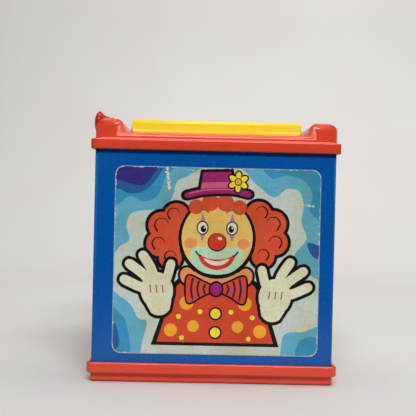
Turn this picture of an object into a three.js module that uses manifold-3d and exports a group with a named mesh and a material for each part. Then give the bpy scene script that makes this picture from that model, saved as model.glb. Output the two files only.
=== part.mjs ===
// Jack in the box: a square plastic box with a crank on its left side that plays a tune, trips the
// latch and lets a sprung clown throw the lid open.
// Millimetres. +Z is up, the front faces -Y, and the origin is the centre of the underside.
import * as THREE from 'three';
import { mergeVertices } from 'three/addons/utils/BufferGeometryUtils.js';
import Module from 'manifold-3d';

const wasm = await Module();
wasm.setup();

// ---------------------------------------------------------------- driving dimensions
const GAP = 0.3; // between pieces that touch on the real toy
const RUNNING = 0.1; // radial clearance of a shaft in its hole
const OVER = 1; // how far a cutter runs past the face it cuts

const BODY = { half: 70.5, wall: 2.2, cornerR: 1.8, bottom: 7.3, top: 139.7 };
const BAND = { half: 73, chamfer: 2.6, skirtInner: 70.8 };
const LIP = { outer: 68, inner: 66 }; // half widths of the upstands inside the body walls
const TRAY = { plinthTop: 5.5, bandTop: 11.7, lipTop: 16, floor: 2.5, edgeR: 1.5, grooveFloor: 7 };
const FRAME = { lipBottom: 130, bandBottom: 135.5, bandTop: 141.6, grooveCeiling: 140 };
const RAIL = { inner: 54.2, top: 153.8, outerR: 6, innerR: 5.4, endR: 5.2, planR: 5, wall: 2.8 };
const LOW_WALL = { top: 146, thick: 4.2, edgeR: 3.6 };
const LEDGE = { top: 144, half: 49.5, front: -61, back: 56 };
const HINGE = { y: 62, z: 149.4, barrelR: 4.6, pinR: 1.25, pinHalf: 58.5 };
const LID = { half: 50.9, front: -65.9, bottom: 144.4, flange: 2.5, top: 154, edgeR: 2.4, skin: 2.4 };
const SCREW_AT = 62; // the base screws' distance from the centre lines

const LABEL = { left: -58.4, right: 61.6, bottom: 16.9, top: 126.1, cornerR: 5 };

const CRANK = { y: 28, z: 105, reach: 57.5, shaftR: 2, armIn: -73.6, armOut: -76.6 };
const KNOB = { waist: -80.6, rim: -83.9, rimR: 8.9, tip: -87.9 };
const DRUM = { y: 10, z: 98, r: 9, pinR: 10, x0: -58, x1: -44, axleR: 1.6 };
const TEETH = { pinion: 12, gear: 36, x0: -64, x1: -60 };
const PLATES = { outer: -66.6, inner: -38.6, thick: 1, bottom: 80, top: 127, front: -21, back: 38 };
const LATCH = { y: -7, z: 120, pinR: 1.5, x0: -42.5, x1: -40 };
const CATCH = { y: -0.3, thick: 1.2, x0: -46, x1: -36.6, bottom: 131, window: [133.2, 139.4] };
const BRACKET_SCREWS = [[-16, 86], [33, 122]]; // y and z
const COMB_SCREWS = [[-55, -16], [-47, -16]]; // x and y
const CATCH_RIVETS = [[-44, 8], [-38.6, 8]]; // x and y

const PUPPET = { y: -6, headZ: 101, head: [29, 28, 31], neckZ: 70.3 };
const SPRING = { r: 15.5, wire: 1.2, bottom: 9, top: 65.6, turns: 7 };
const DISC = { r: 34, bottom: 5.3, top: 7.3 };

// ---------------------------------------------------------------- materials
const paint = (color, roughness, metalness = 0) =>
  new THREE.MeshStandardMaterial({ color, roughness, metalness });
const RED = paint(0xd83a22, 0.3);
const BLUE = paint(0x0a4f9e, 0.35);
const YELLOW = paint(0xf6cf2a, 0.3);
const WHITE = paint(0xf1ede4, 0.4);
const PAPER = paint(0xe9ece8, 0.5);
const STEEL = paint(0xb9bcc0, 0.35, 1);
const BRASS = paint(0xc8a24a, 0.35, 1);
const SKIN = paint(0xe9a06c, 0.45);
const HAIR = paint(0xe2562a, 0.9);
const HAT = paint(0xb3246f, 0.5);
const CLOTH = paint(0xc93328, 0.9);
const RUFF = paint(0xf2a43a, 0.9);
const GLOVE = paint(0xf3e7cf, 0.6);
const BOARD = paint(0xa98a63, 0.85);

// ---------------------------------------------------------------- solids
/** Turns a three.js geometry into a closed solid that faces outwards. */
function solid(geometry) {
  const plain = geometry.clone();
  plain.deleteAttribute('normal');
  plain.deleteAttribute('uv');
  const merged = mergeVertices(plain, 1e-4);
  const at = merged.attributes.position;
  const corners = [];
  let volume = 0;
  const [a, b, c] = [new THREE.Vector3(), new THREE.Vector3(), new THREE.Vector3()];
  for (let i = 0; i < merged.index.count; i += 3) {
    const [p, q, r] = [0, 1, 2].map((k) => merged.index.getX(i + k));
    if (p === q || q === r || r === p) continue;
    corners.push([p, q, r]);
    a.fromBufferAttribute(at, p);
    b.fromBufferAttribute(at, q);
    c.fromBufferAttribute(at, r);
    volume += a.dot(b.cross(c));
  }
  const facing = volume < 0 ? corners.map(([p, q, r]) => [p, r, q]) : corners;
  return new wasm.Manifold(
    new wasm.Mesh({
      numProp: 3,
      vertProperties: new Float32Array(at.array),
      triVerts: new Uint32Array(facing.flat()),
    })
  );
}

/** Adds several solids into one. */
const union = (...solids) => solids.reduce((sum, next) => sum.add(next));

/** A box between two opposite corners. */
function block([x0, x1], [y0, y1], [z0, z1]) {
  const box = new THREE.BoxGeometry(x1 - x0, y1 - y0, z1 - z0);
  return solid(box.translate((x0 + x1) / 2, (y0 + y1) / 2, (z0 + z1) / 2));
}

/** A square block centred on the Z axis. */
const square = (half, span) => block([-half, half], [-half, half], span);

/** A closed outline through corners [x, y, radius], each rounded by its radius. */
function outline(corners) {
  const shape = new THREE.Shape();
  corners.forEach(([x, y, r = 0], i) => {
    const before = corners[(i + corners.length - 1) % corners.length];
    const after = corners[(i + 1) % corners.length];
    const here = new THREE.Vector2(x, y);
    const back = new THREE.Vector2(before[0], before[1]).sub(here).normalize();
    const on = new THREE.Vector2(after[0], after[1]).sub(here).normalize();
    const half = Math.acos(THREE.MathUtils.clamp(back.dot(on), -1, 1)) / 2;
    const reach = r / Math.tan(half);
    const start = here.clone().addScaledVector(back, reach);
    const end = here.clone().addScaledVector(on, reach);
    if (i === 0) shape.moveTo(start.x, start.y);
    else shape.lineTo(start.x, start.y);
    if (r === 0) return;
    const middle = back.clone().add(on).normalize();
    const centre = here.clone().addScaledVector(middle, r / Math.sin(half));
    const from = Math.atan2(start.y - centre.y, start.x - centre.x);
    const to = Math.atan2(end.y - centre.y, end.x - centre.x);
    shape.absarc(centre.x, centre.y, r, from, to, back.cross(on) > 0);
  });
  return shape;
}

/** Extrudes an outline drawn in X and Y from z0 to z1. */
function alongZ(shape, [z0, z1], curveSegments = 2) {
  const options = { depth: z1 - z0, bevelEnabled: false, curveSegments };
  return new THREE.ExtrudeGeometry(shape, options).translate(0, 0, z0);
}

/** Extrudes an outline drawn in X and Z from y0 to y1. */
const alongY = (shape, [y0, y1], segments) =>
  solid(alongZ(shape, [-y1, -y0], segments).rotateX(Math.PI / 2));

/** Extrudes an outline drawn in Y and Z from x0 to x1. */
const alongX = (shape, span, segments) =>
  solid(alongZ(shape, span, segments).rotateX(Math.PI / 2).rotateZ(Math.PI / 2));

/** Turns a profile of [radius, height] points round the Z axis. */
function turnedZ(profile, segments = 32) {
  const points = profile.map(([r, h]) => new THREE.Vector2(r, h));
  return solid(new THREE.LatheGeometry(points, segments).rotateX(Math.PI / 2));
}

/** Turns a profile of [radius, x] points round a line parallel to X. */
const turnedX = (profile, [y, z], segments) =>
  turnedZ(profile, segments).rotate([0, 90, 0]).translate([0, y, z]);

/** A cylinder from x0 to x1 round a line parallel to X. */
const rodX = (r, [x0, x1], at, segments = 24) =>
  turnedX([[0, x0], [r, x0], [r, x1], [0, x1]], at, segments);

/** A cylinder from z0 to z1 round a line parallel to Z. */
const rodZ = (r, [z0, z1], [x, y] = [0, 0], segments = 24) =>
  turnedZ([[0, z0], [r, z0], [r, z1], [0, z1]], segments).translate([x, y, 0]);

/** An ellipsoid with the given half axes. */
const ellipsoid = ([a, b, c], centre, segments = 20) =>
  solid(new THREE.SphereGeometry(1, segments, Math.round(segments * 0.6)))
    .scale([a, b, c])
    .translate(centre);

/** A wire of round section along a curve. */
function wire(curve, r, steps, quarterSides) {
  const section = new THREE.Shape();
  section.absarc(0, 0, r, 0, 2 * Math.PI, false);
  const options = { steps, curveSegments: quarterSides, bevelEnabled: false, extrudePath: curve };
  return solid(new THREE.ExtrudeGeometry(section, options));
}

/** A helix round the Z axis. */
class Helix extends THREE.Curve {
  constructor(radius, bottom, top, turns) {
    super();
    Object.assign(this, { radius, bottom, top, turns });
  }
  getPoint(t, point = new THREE.Vector3()) {
    const angle = 2 * Math.PI * this.turns * t;
    const height = this.bottom + (this.top - this.bottom) * t;
    return point.set(this.radius * Math.cos(angle), this.radius * Math.sin(angle), height);
  }
}

const group = new THREE.Group();
group.name = 'jack_in_the_box';

/** Adds one finished piece to the object. */
function piece(name, shape, material) {
  const mesh = shape.getMesh();
  const geometry = new THREE.BufferGeometry();
  geometry.setAttribute('position', new THREE.BufferAttribute(mesh.vertProperties, 3));
  geometry.setIndex(new THREE.BufferAttribute(mesh.triVerts, 1));
  geometry.computeVertexNormals();
  const part = new THREE.Mesh(geometry, material);
  part.name = name;
  group.add(part);
}

// ---------------------------------------------------------------- the box
/** The band's plan: a square with its corners cut off. */
function bandPlan() {
  const [h, c] = [BAND.half, BAND.half - BAND.chamfer];
  return outline([[c, -h], [h, -c], [h, c], [c, h], [-c, h], [-h, c], [-h, -c], [-c, -h]]);
}

/** The four positions of the base screws. */
const cornerPoints = [[1, 1], [-1, 1], [-1, -1], [1, -1]].map(([x, y]) => [x * SCREW_AT, y * SCREW_AT]);

/** Round-cornered square plan of the body at a given half width. */
const bodyPlan = (h, r) => outline([[h, -h, r], [h, h, r], [-h, h, r], [-h, -h, r]]);

/** The red tray that the box stands on, with a groove for the body walls. */
function baseTray() {
  const h = BODY.half;
  const [r, top] = [TRAY.edgeR, TRAY.plinthTop + 1];
  const side = outline([[-h, 0, r], [h, 0, r], [h, top], [-h, top]]);
  const plinth = alongY(side, [-h, h]).intersect(alongX(side, [-h, h]));
  const band = solid(alongZ(bandPlan(), [TRAY.plinthTop, TRAY.bandTop]));
  const lip = square(LIP.outer, [TRAY.floor, TRAY.lipTop]);
  const groove = square(BAND.skirtInner, [TRAY.grooveFloor, TRAY.bandTop + OVER]).subtract(
    square(LIP.outer, [TRAY.grooveFloor - OVER, TRAY.bandTop + 2 * OVER])
  );
  let tray = union(plinth, band, lip).subtract(groove);
  tray = tray.subtract(square(LIP.inner, [TRAY.floor, TRAY.lipTop + OVER]));
  const bossTop = TRAY.grooveFloor;
  for (const at of cornerPoints) {
    const [x, y] = at.map((v) => (v > 0 ? [55, BAND.skirtInner] : [-BAND.skirtInner, -55]));
    tray = tray.subtract(block(x, y, [bossTop, TRAY.lipTop + OVER]));
    tray = tray.add(rodZ(5.5, [TRAY.floor - OVER, bossTop], at, 16));
    tray = tray.subtract(rodZ(3.4, [-OVER, 3.6], at, 16));
    tray = tray.subtract(rodZ(1.8, [0, bossTop + OVER], at, 12));
  }
  const boss = rodZ(10, [TRAY.floor - OVER, DISC.bottom - GAP], [0, 0], 20);
  return tray.add(boss).subtract(rodZ(1.8, [1, DISC.bottom], [0, 0], 12));
}

/** The blue body: four walls in one moulding, with screw bosses in its lower corners. */
function bodyShell() {
  const span = [BODY.bottom, BODY.top];
  const inner = BODY.half - BODY.wall;
  let shell = solid(alongZ(bodyPlan(BODY.half, BODY.cornerR), span));
  shell = shell.subtract(square(inner, [span[0] - OVER, span[1] + OVER]));
  for (const at of cornerPoints) {
    const [x, y] = at.map((v) => (v > 0 ? [56, inner + 0.5] : [-inner - 0.5, -56]));
    shell = shell.add(block(x, y, [BODY.bottom, 30]));
    shell = shell.subtract(rodZ(1.8, [BODY.bottom - OVER, 24], at, 12));
  }
  for (const at of BRACKET_SCREWS) {
    shell = shell.add(rodX(4, [-inner - 0.5, PLATES.outer - PLATES.thick / 2 - 0.4], at, 16));
    shell = shell.subtract(rodX(1.2, [-inner - 0.8, -60], at, 12));
  }
  return shell.subtract(rodX(4.3, [-BODY.half - OVER, -inner + OVER], [CRANK.y, CRANK.z]));
}

/** One of the two raised rails that run from front to back beside the lid. */
function rail() {
  const [x0, x1, top, h] = [RAIL.inner, BODY.half, RAIL.top, BODY.half];
  const foot = FRAME.bandTop - 0.6;
  const front = outline([[x0, foot], [x1, foot], [x1, top, RAIL.outerR], [x0, top, RAIL.innerR]]);
  const side = outline([[-h, foot], [h, foot], [h, top, RAIL.endR], [-h, top, RAIL.endR]]);
  const [inR, outR] = [RAIL.planR, BODY.cornerR];
  const plan = outline([[x0, -h, inR], [x1, -h, outR], [x1, h, outR], [x0, h, inR]]);
  const outside = alongY(front, [-h, h], 3)
    .intersect(alongX(side, [x0 - OVER, x1 + OVER], 3))
    .intersect(solid(alongZ(plan, [foot, top + OVER])));
  const inside = block(
    [x0 + RAIL.wall, LIP.outer],
    [-LIP.outer, LIP.outer],
    [foot - OVER, top - RAIL.wall]
  );
  return outside.subtract(inside);
}

/** The low wall between the rails, at the front or, mirrored, at the back. */
function lowWall() {
  const [h, t, r] = [BODY.half, LOW_WALL.thick, LOW_WALL.edgeR];
  const foot = FRAME.bandTop - 0.6;
  const side = outline([[-h, foot], [-h + t, foot], [-h + t, LOW_WALL.top, 0.6], [-h, LOW_WALL.top, r]]);
  const end = RAIL.inner + RAIL.planR + 1; // past the rails' rounded inner corners
  return alongX(side, [-end, end], 3);
}

/** The red frame that caps the body and carries the lid. */
function topFrame() {
  let band = solid(alongZ(bandPlan(), [FRAME.bandBottom, FRAME.bandTop]));
  band = band.subtract(square(BAND.skirtInner, [FRAME.bandBottom - OVER, FRAME.grooveCeiling]));
  const lip = square(LIP.outer, [FRAME.lipBottom, FRAME.bandTop]);
  const ring = union(band, lip).subtract(
    square(LIP.inner, [FRAME.lipBottom - OVER, FRAME.bandTop + OVER])
  );
  const right = rail();
  const front = lowWall();
  const ledge = block(
    [-RAIL.inner - 1, RAIL.inner + 1],
    [-LIP.outer, LIP.outer],
    [FRAME.bandTop - 0.6, LEDGE.top]
  ).subtract(block([-LEDGE.half, LEDGE.half], [LEDGE.front, LEDGE.back], [130, 160]));
  const frame = union(ring, right, right.mirror([1, 0, 0]), front, front.mirror([0, 1, 0]), ledge);
  const pinHole = HINGE.pinR + RUNNING;
  return frame.subtract(rodX(pinHole, [-HINGE.pinHalf - 1, HINGE.pinHalf + 1], [HINGE.y, HINGE.z]));
}

/** A round-cornered label a fraction of a millimetre thick, facing -Y. */
function label() {
  const { left, right, bottom, top, cornerR: r } = LABEL;
  const shape = outline([[left, bottom, r], [right, bottom, r], [right, top, r], [left, top, r]]);
  return alongY(shape, [-BODY.half - 0.35, -BODY.half - 0.05], 3);
}

/** Adds the four labels, the left one with a hole round the crank bush. */
function addLabels() {
  const front = label();
  piece('sticker_front', front, PAPER);
  piece('sticker_right', front.rotate([0, 0, 90]), PAPER);
  piece('sticker_back', front.rotate([0, 0, 180]), PAPER);
  const hole = rodX(7.4, [-BODY.half - 2, -BODY.half + 1], [CRANK.y, CRANK.z]);
  piece('sticker_left', front.rotate([0, 0, -90]).subtract(hole), PAPER);
}

/** A pan-head screw pointing up +Z with its head's underside at z = 0. */
const screw = (headR, headH, shankR, length) =>
  union(rodZ(headR, [-headH, 0], [0, 0], 14), rodZ(shankR, [-0.2, length], [0, 0], 8)).subtract(
    block([-headR * 0.7, headR * 0.7], [-0.4, 0.4], [-headH - OVER, -headH * 0.55])
  );

// ---------------------------------------------------------------- the lid
/** The yellow lid: a shallow pan with a flange round its foot and a hinge barrel along its back. */
function lid() {
  const [h, f, b, top] = [LID.half, LID.front, LID.bottom, LID.top];
  const flangeTop = b + LID.flange;
  const wallFoot = 0.5; // how far the wall's foot stands in from the flange
  const slope = 1.4; // height of the sloping step between them
  const taper = 1; // how far the wall's top stands in
  const front = outline([
    [-h, b], [h, b], [h, flangeTop], [h - wallFoot, flangeTop + slope], [h - taper, top, LID.edgeR],
    [-h + taper, top, LID.edgeR], [-h + wallFoot, flangeTop + slope], [-h, flangeTop],
  ]);
  const back = HINGE.y;
  const side = outline([
    [f, b], [back - HINGE.barrelR, b], [back, HINGE.z], [back, top],
    [f + taper, top, LID.edgeR], [f + wallFoot, flangeTop + slope], [f, flangeTop],
  ]);
  const plan = outline([[-h, f, 3], [h, f, 3], [h, back], [-h, back]]);
  const outside = alongY(front, [f - OVER, back + OVER], 3)
    .intersect(alongX(side, [-h - OVER, h + OVER], 3))
    .intersect(solid(alongZ(plan, [b - OVER, top + OVER])));
  const inside = block([-h + 3.3, h - 3.3], [f + 3.3, back - 6.2], [b - OVER, top - LID.skin]);
  const barrel = rodX(HINGE.barrelR, [-h + taper, h - taper], [HINGE.y, HINGE.z], 24);
  const bore = rodX(HINGE.pinR + RUNNING, [-h - OVER, h + OVER], [HINGE.y, HINGE.z]);
  return outside.subtract(inside).add(barrel).subtract(bore);
}

/** The steel catch under the lid: a foot for two rivets and a tongue with the latch window. */
function lidCatch() {
  const { y, thick, x0, x1, bottom } = CATCH;
  const under = LID.top - LID.skin - GAP;
  const foot = block([x0, x1], [y - thick / 2, y + 13], [under - thick, under]);
  const tongue = block([x0, x1], [y - thick / 2, y + thick / 2], [bottom, under]);
  const window = block([LATCH.x0 - 1, LATCH.x1 + 1], [y - 3, y + 3], CATCH.window);
  let catchPlate = union(foot, tongue).subtract(window);
  for (const at of CATCH_RIVETS) catchPlate = catchPlate.subtract(rodZ(1.3, [under - 3, under + 1], at, 12));
  return catchPlate;
}

/** A rivet that holds the catch's foot, with its shank short of the lid's skin. */
const catchRivet = (at) => {
  const under = LID.top - LID.skin - GAP;
  return rodZ(2.2, [under - CATCH.thick - 1.1, under - CATCH.thick - GAP], at, 12).add(
    rodZ(1, [under - CATCH.thick - GAP - 0.2, under + GAP - 0.1], at, 10)
  );
};

// ---------------------------------------------------------------- crank and tune movement
/** A spur gear's outline, with one tooth centred on a given angle. */
function gearOutline(teeth, module, firstAngle, [cy, cz]) {
  const pitch = (module * teeth) / 2;
  const [root, tip] = [pitch - 1.2 * module, pitch + 0.75 * module];
  const step = (2 * Math.PI) / teeth;
  const [rootShare, tipShare] = [0.27, 0.11]; // half widths as shares of one tooth's step
  const points = [];
  for (let i = 0; i < teeth; i++) {
    const middle = firstAngle + i * step;
    for (const [r, share] of [[root, -rootShare], [tip, -tipShare], [tip, tipShare], [root, rootShare]]) {
      const angle = middle + share * step;
      points.push(new THREE.Vector2(cy + r * Math.cos(angle), cz + r * Math.sin(angle)));
    }
  }
  return new THREE.Shape(points);
}

const CENTRES = Math.hypot(CRANK.y - DRUM.y, CRANK.z - DRUM.z);
const MODULE = (2 * CENTRES) / (TEETH.pinion + TEETH.gear);
const MESH_ANGLE = Math.atan2(CRANK.z - DRUM.z, CRANK.y - DRUM.y); // from the drum to the crank

/** The pinion on the crank shaft, a tooth pointing straight at the drum gear. */
function pinion() {
  const at = [CRANK.y, CRANK.z];
  const shape = gearOutline(TEETH.pinion, MODULE, MESH_ANGLE + Math.PI, at);
  return alongX(shape, [TEETH.x0, TEETH.x1]).subtract(rodX(CRANK.shaftR + 0.06, [-70, -50], at));
}

/** The drum gear, a gap between two teeth facing the pinion. */
function drumGear() {
  const at = [DRUM.y, DRUM.z];
  const shape = gearOutline(TEETH.gear, MODULE, MESH_ANGLE + Math.PI / TEETH.gear, at);
  return alongX(shape, [TEETH.x0, TEETH.x1]).subtract(rodX(DRUM.axleR + 0.06, [-70, -50], at));
}

/** The tune drum: a cylinder set with short pins in rings, one ring for each comb tooth. */
function melodyDrum() {
  const [tones, notes] = [10, 40];
  const goldenAngle = Math.PI * (3 - Math.sqrt(5));
  let drum = rodX(DRUM.r, [DRUM.x0, DRUM.x1], [0, 0], 28);
  for (let i = 0; i < notes; i++) {
    const x = DRUM.x0 + ((DRUM.x1 - DRUM.x0) * ((i * 3) % tones) + 7) / tones;
    const pin = block([x - 0.35, x + 0.35], [-0.35, 0.35], [DRUM.r - 0.6, DRUM.pinR]);
    drum = drum.add(pin.rotate([(i * goldenAngle * 180) / Math.PI, 0, 0]));
  }
  drum = drum.translate([0, DRUM.y, DRUM.z]);
  return drum.subtract(rodX(DRUM.axleR + 0.06, [DRUM.x0 - 1, DRUM.x1 + 1], [DRUM.y, DRUM.z]));
}

/** The cam that trips the latch once a turn, its lobe pointing down at rest. */
function tripCam() {
  const disc = rodX(8.4, [LATCH.x0, LATCH.x1], [DRUM.y, DRUM.z], 28);
  const lobe = rodX(3, [LATCH.x0, LATCH.x1], [DRUM.y, DRUM.z - 8.8], 16);
  return disc.add(lobe).subtract(rodX(DRUM.axleR + 0.06, [-50, -30], [DRUM.y, DRUM.z]));
}

/** The comb: tuned teeth that reach to just short of the drum pins. */
function comb() {
  const tones = 10;
  const tips = DRUM.y - DRUM.pinR - 0.35;
  const [root, back] = [tips - 8, PLATES.front + 0.6];
  const width = (DRUM.x1 - DRUM.x0) / tones;
  const points = [[DRUM.x1, back], [DRUM.x0, back]].map(([x, y]) => new THREE.Vector2(x, y));
  for (let i = 0; i < tones; i++) {
    const [x0, x1] = [DRUM.x0 + i * width, DRUM.x0 + (i + 1) * width - 0.4];
    const tip = tips - i * 0.02;
    for (const [x, y] of [[x0, root], [x0, tip], [x1, tip], [x1, root]]) points.push(new THREE.Vector2(x, y));
  }
  points.pop();
  points.push(new THREE.Vector2(DRUM.x1 - 0.4, root), new THREE.Vector2(DRUM.x1, root));
  let plate = solid(alongZ(new THREE.Shape(points), [DRUM.z - 0.4, DRUM.z + 0.4]));
  for (const at of COMB_SCREWS) plate = plate.subtract(rodZ(1.3, [90, 110], at, 12));
  return plate;
}

/** The steel bracket: two side plates, a floor strip and a ledge for the comb, bent from one sheet. */
function bracket() {
  const { outer, inner, thick, bottom, top, front, back } = PLATES;
  const side = outline([[front, bottom, 2], [back, bottom, 2], [back, top, 4], [front, top, 12]]);
  const plates = union(
    alongX(side, [outer - thick / 2, outer + thick / 2]),
    alongX(side, [inner - thick / 2, inner + thick / 2])
  );
  const floor = block([outer, inner], [front + 6, back - 6], [bottom, bottom + thick]);
  const ledge = block([outer, inner], [front, front + 10], [DRUM.z - 1.9, DRUM.z - 0.7]);
  let sheet = union(plates, floor, ledge);
  const across = [outer - OVER, inner + OVER];
  sheet = sheet.subtract(rodX(CRANK.shaftR + RUNNING, across, [CRANK.y, CRANK.z]));
  sheet = sheet.subtract(rodX(DRUM.axleR + RUNNING, across, [DRUM.y, DRUM.z]));
  sheet = sheet.subtract(rodX(LATCH.pinR + RUNNING, across, [LATCH.y, LATCH.z]));
  for (const at of BRACKET_SCREWS) sheet = sheet.subtract(rodX(1.5, [outer - OVER, -60], at, 12));
  for (const at of COMB_SCREWS) sheet = sheet.subtract(rodZ(1.2, [95, 100], at, 12));
  return sheet;
}

/** The latch: a lever with a nose for the lid's catch and a foot over the trip cam. */
function latch() {
  const shape = outline([
    [-4, -4, 3], [1, -4.2, 1], [13.5, -9.8, 0.5], [16.4, -9.6, 1], [15.8, -6.6, 1], [3.6, 0.5, 2],
    [2.2, 16, 0.5], [3.6, 16, 0.2], [3.6, 18.6, 0.2], [0, 19.6, 1.5], [-2, 16, 1], [-4, 2, 2],
  ]);
  const lever = alongX(shape, [LATCH.x0, LATCH.x1]).translate([0, LATCH.y, LATCH.z]);
  return lever.subtract(rodX(LATCH.pinR + RUNNING, [-50, -30], [LATCH.y, LATCH.z]));
}

/** The small torsion spring on the latch pin. */
function latchSpring() {
  const coil = wire(new Helix(2.6, 0, 4.4, 4), 0.35, 44, 2);
  return coil.rotate([0, 90, 0]).translate([-48, LATCH.y, LATCH.z]);
}

/** The crank arm: a flat bar from the shaft's hub to the knob's eye. */
function crankArm() {
  const [y, z, reach] = [CRANK.y, CRANK.z, CRANK.reach];
  const bar = outline([[y - 4.6, z - 2], [y + 4.6, z - 2], [y + 3.4, z + reach], [y - 3.4, z + reach]]);
  const span = [CRANK.armOut, CRANK.armIn];
  const arm = union(
    alongX(bar, span),
    rodX(7, [CRANK.armOut - 0.9, -72.7], [y, z]),
    rodX(4.3, span, [y, z + reach])
  );
  const bores = union(
    rodX(CRANK.shaftR + 0.06, [-90, -60], [y, z]),
    rodX(1.6, [-90, -60], [y, z + reach])
  );
  return arm.subtract(bores);
}

/** The crank knob: a domed button on a flared neck, free to turn on its rivet. */
function crankKnob() {
  const [neck, { waist, rim, rimR, tip }] = [CRANK.armOut - GAP, KNOB];
  const steps = 5;
  const dome = Array.from({ length: steps + 1 }, (_, i) => {
    const angle = (i * Math.PI) / 2 / steps;
    return [rimR * Math.cos(angle), rim + (tip - rim) * Math.sin(angle)];
  });
  const flare = [[6.1, waist], [7.3, waist - 1.3], [8.5, rim + 1]];
  const profile = [[0, neck], [4.7, neck], ...flare, ...dome];
  const knob = turnedX(profile, [CRANK.y, CRANK.z + CRANK.reach], 24);
  return knob.subtract(rodX(1.6, [-86, neck + OVER], [CRANK.y, CRANK.z + CRANK.reach], 16));
}

// ---------------------------------------------------------------- the clown on its spring
/** The head's ellipsoid grown by a margin. */
const headBall = (grow, segments) =>
  ellipsoid(PUPPET.head.map((v) => v + grow), [0, PUPPET.y, PUPPET.headZ], segments);

/** The moulded head, flat under the chin. */
const head = () =>
  headBall(0, 24).subtract(block([-40, 40], [-50, 50], [50, PUPPET.neckZ]));

/** A piece that sits on the head with a hair's gap. */
const fitted = (shape) => shape.subtract(headBall(GAP, 24));

/** The hat: a crown that narrows upwards on a turned-up brim. */
function hat() {
  const brim = [[19, 121], [21.5, 123.5], [21, 126], [16.5, 126.5]];
  const profile = [[0, 120], ...brim, [14.5, 141], [12, 145.2], [0, 145.6]];
  return fitted(turnedZ(profile, 20).translate([0, PUPPET.y, 0]));
}

/** One tuft of hair, on the right for side 1 and the left for side -1. */
const hair = (side) => fitted(ellipsoid([9, 12, 13], [side * 24.6, PUPPET.y + 2, 106], 14));

/** One gloved hand with its thumb. */
function hand(side) {
  const palm = ellipsoid([7.5, 4.5, 9], [0, 0, 0], 12);
  const thumb = ellipsoid([2.6, 2.6, 5.5], [0, 0, 0], 8).rotate([0, -side * 40, 0]);
  return palm.add(thumb.translate([-side * 6, 0, 3])).translate([side * 19, -47, 74]);
}

/** The sleeve from the costume's shoulder to the glove. */
function sleeve(side) {
  const profile = [[0, -9], [7.6, -9], [9, -3], [8, 3], [6.2, 8], [0, 8]];
  const tube = turnedZ(profile, 16).rotate([38, 0, 0]).rotate([0, 0, side * 14]);
  return tube
    .translate([side * 22.5, -40, 58])
    .subtract(rodZ(33.6, [40, 90], [0, PUPPET.y], 40))
    .subtract(block([-40, 40], [-70, 0], [64.2, 90]));
}

/** The costume below the collar: a tube of cloth gathered round the compressed spring. */
function costume() {
  const outside = [[33, 7.7], [33, 58], [28, 62.5], [18.5, 64.2]];
  const wall = [[30, 7.7], ...outside, [18.5, 62.6], [26.5, 60.5], [30, 56], [30, 7.7]];
  return turnedZ(wall, 24).translate([0, PUPPET.y, 0]);
}

/** The pleated collar under the chin. */
function collar() {
  const profile = [[17.5, 66], [31, 64.8], [33, 67.5], [31, 69.8], [17.5, 69.6], [17.5, 66]];
  return turnedZ(profile, 24).translate([0, PUPPET.y, 0]);
}

// ---------------------------------------------------------------- assembly
piece('base_tray', baseTray(), RED);
piece('body_shell', bodyShell(), BLUE);
piece('top_frame', topFrame(), RED);
addLabels();
cornerPoints.forEach(([x, y], i) => {
  piece(`base_screw_${i + 1}`, screw(3, 2, 1.4, 18).translate([x, y, 3.3]), STEEL);
});
piece('hinge_pin', rodX(HINGE.pinR, [-HINGE.pinHalf, HINGE.pinHalf], [HINGE.y, HINGE.z]), STEEL);

const bushAt = [CRANK.y, CRANK.z];
const bush = rodX(4, [-71, -67.3], bushAt).add(rodX(6.6, [-72.4, -70.95], bushAt));
piece('crank_bush', bush.subtract(rodX(CRANK.shaftR + RUNNING, [-80, -60], bushAt)), WHITE);

piece('movement_bracket', bracket(), STEEL);
BRACKET_SCREWS.forEach(([y, z], i) => {
  const turned = screw(2.6, 1.6, 0.9, 2.9).rotate([0, -90, 0]);
  piece(`bracket_screw_${i + 1}`, turned.translate([PLATES.outer + 0.8, y, z]), STEEL);
});
piece('tune_comb', comb(), STEEL);
COMB_SCREWS.forEach(([x, y], i) => {
  const turned = screw(2.2, 1.4, 0.9, 3.2).rotate([180, 0, 0]);
  piece(`comb_screw_${i + 1}`, turned.translate([x, y, DRUM.z + 0.7]), BRASS);
});
piece('latch_pin', rodX(LATCH.pinR, [-67.6, -37.4], [LATCH.y, LATCH.z]), STEEL);
piece('latch_spring', latchSpring(), STEEL);

piece('spring_disc', rodZ(DISC.r, [DISC.bottom, DISC.top], [0, PUPPET.y], 32)
  .subtract(rodZ(1.8, [0, 20], [0, 0], 12)), BOARD);
piece('disc_screw', screw(3.2, 1.8, 1.4, 6).rotate([180, 0, 0]).translate([0, 0, DISC.top + GAP]), STEEL);

piece('lid', lid(), YELLOW);
piece('lid_catch', lidCatch(), STEEL);
CATCH_RIVETS.forEach((at, i) => piece(`catch_rivet_${i + 1}`, catchRivet(at), STEEL));

piece('crank_shaft', rodX(CRANK.shaftR, [-78, -36.6], bushAt), STEEL);
piece('crank_arm', crankArm(), RED);
piece('crank_nut', rodX(3.6, [-80.2, -78.2], bushAt, 6), STEEL);
piece('crank_pinion', pinion(), WHITE);
const clip = rodX(4, [-37.8, -37], bushAt).subtract(rodX(CRANK.shaftR + 0.06, [-50, -30], bushAt));
piece('shaft_clip', clip, STEEL);
const knobAt = [CRANK.y, CRANK.z + CRANK.reach];
piece('knob_rivet', rodX(1.4, [-85.6, -73.4], knobAt).add(rodX(2.6, [-73.4, -72.9], knobAt)), STEEL);
piece('crank_knob', crankKnob(), RED);

piece('drum_axle', rodX(DRUM.axleR, [-67.4, -37.4], [DRUM.y, DRUM.z]), STEEL);
piece('melody_drum', melodyDrum(), BRASS);
piece('drum_gear', drumGear(), WHITE);
piece('trip_cam', tripCam(), WHITE);
piece('latch', latch(), STEEL);

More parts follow.
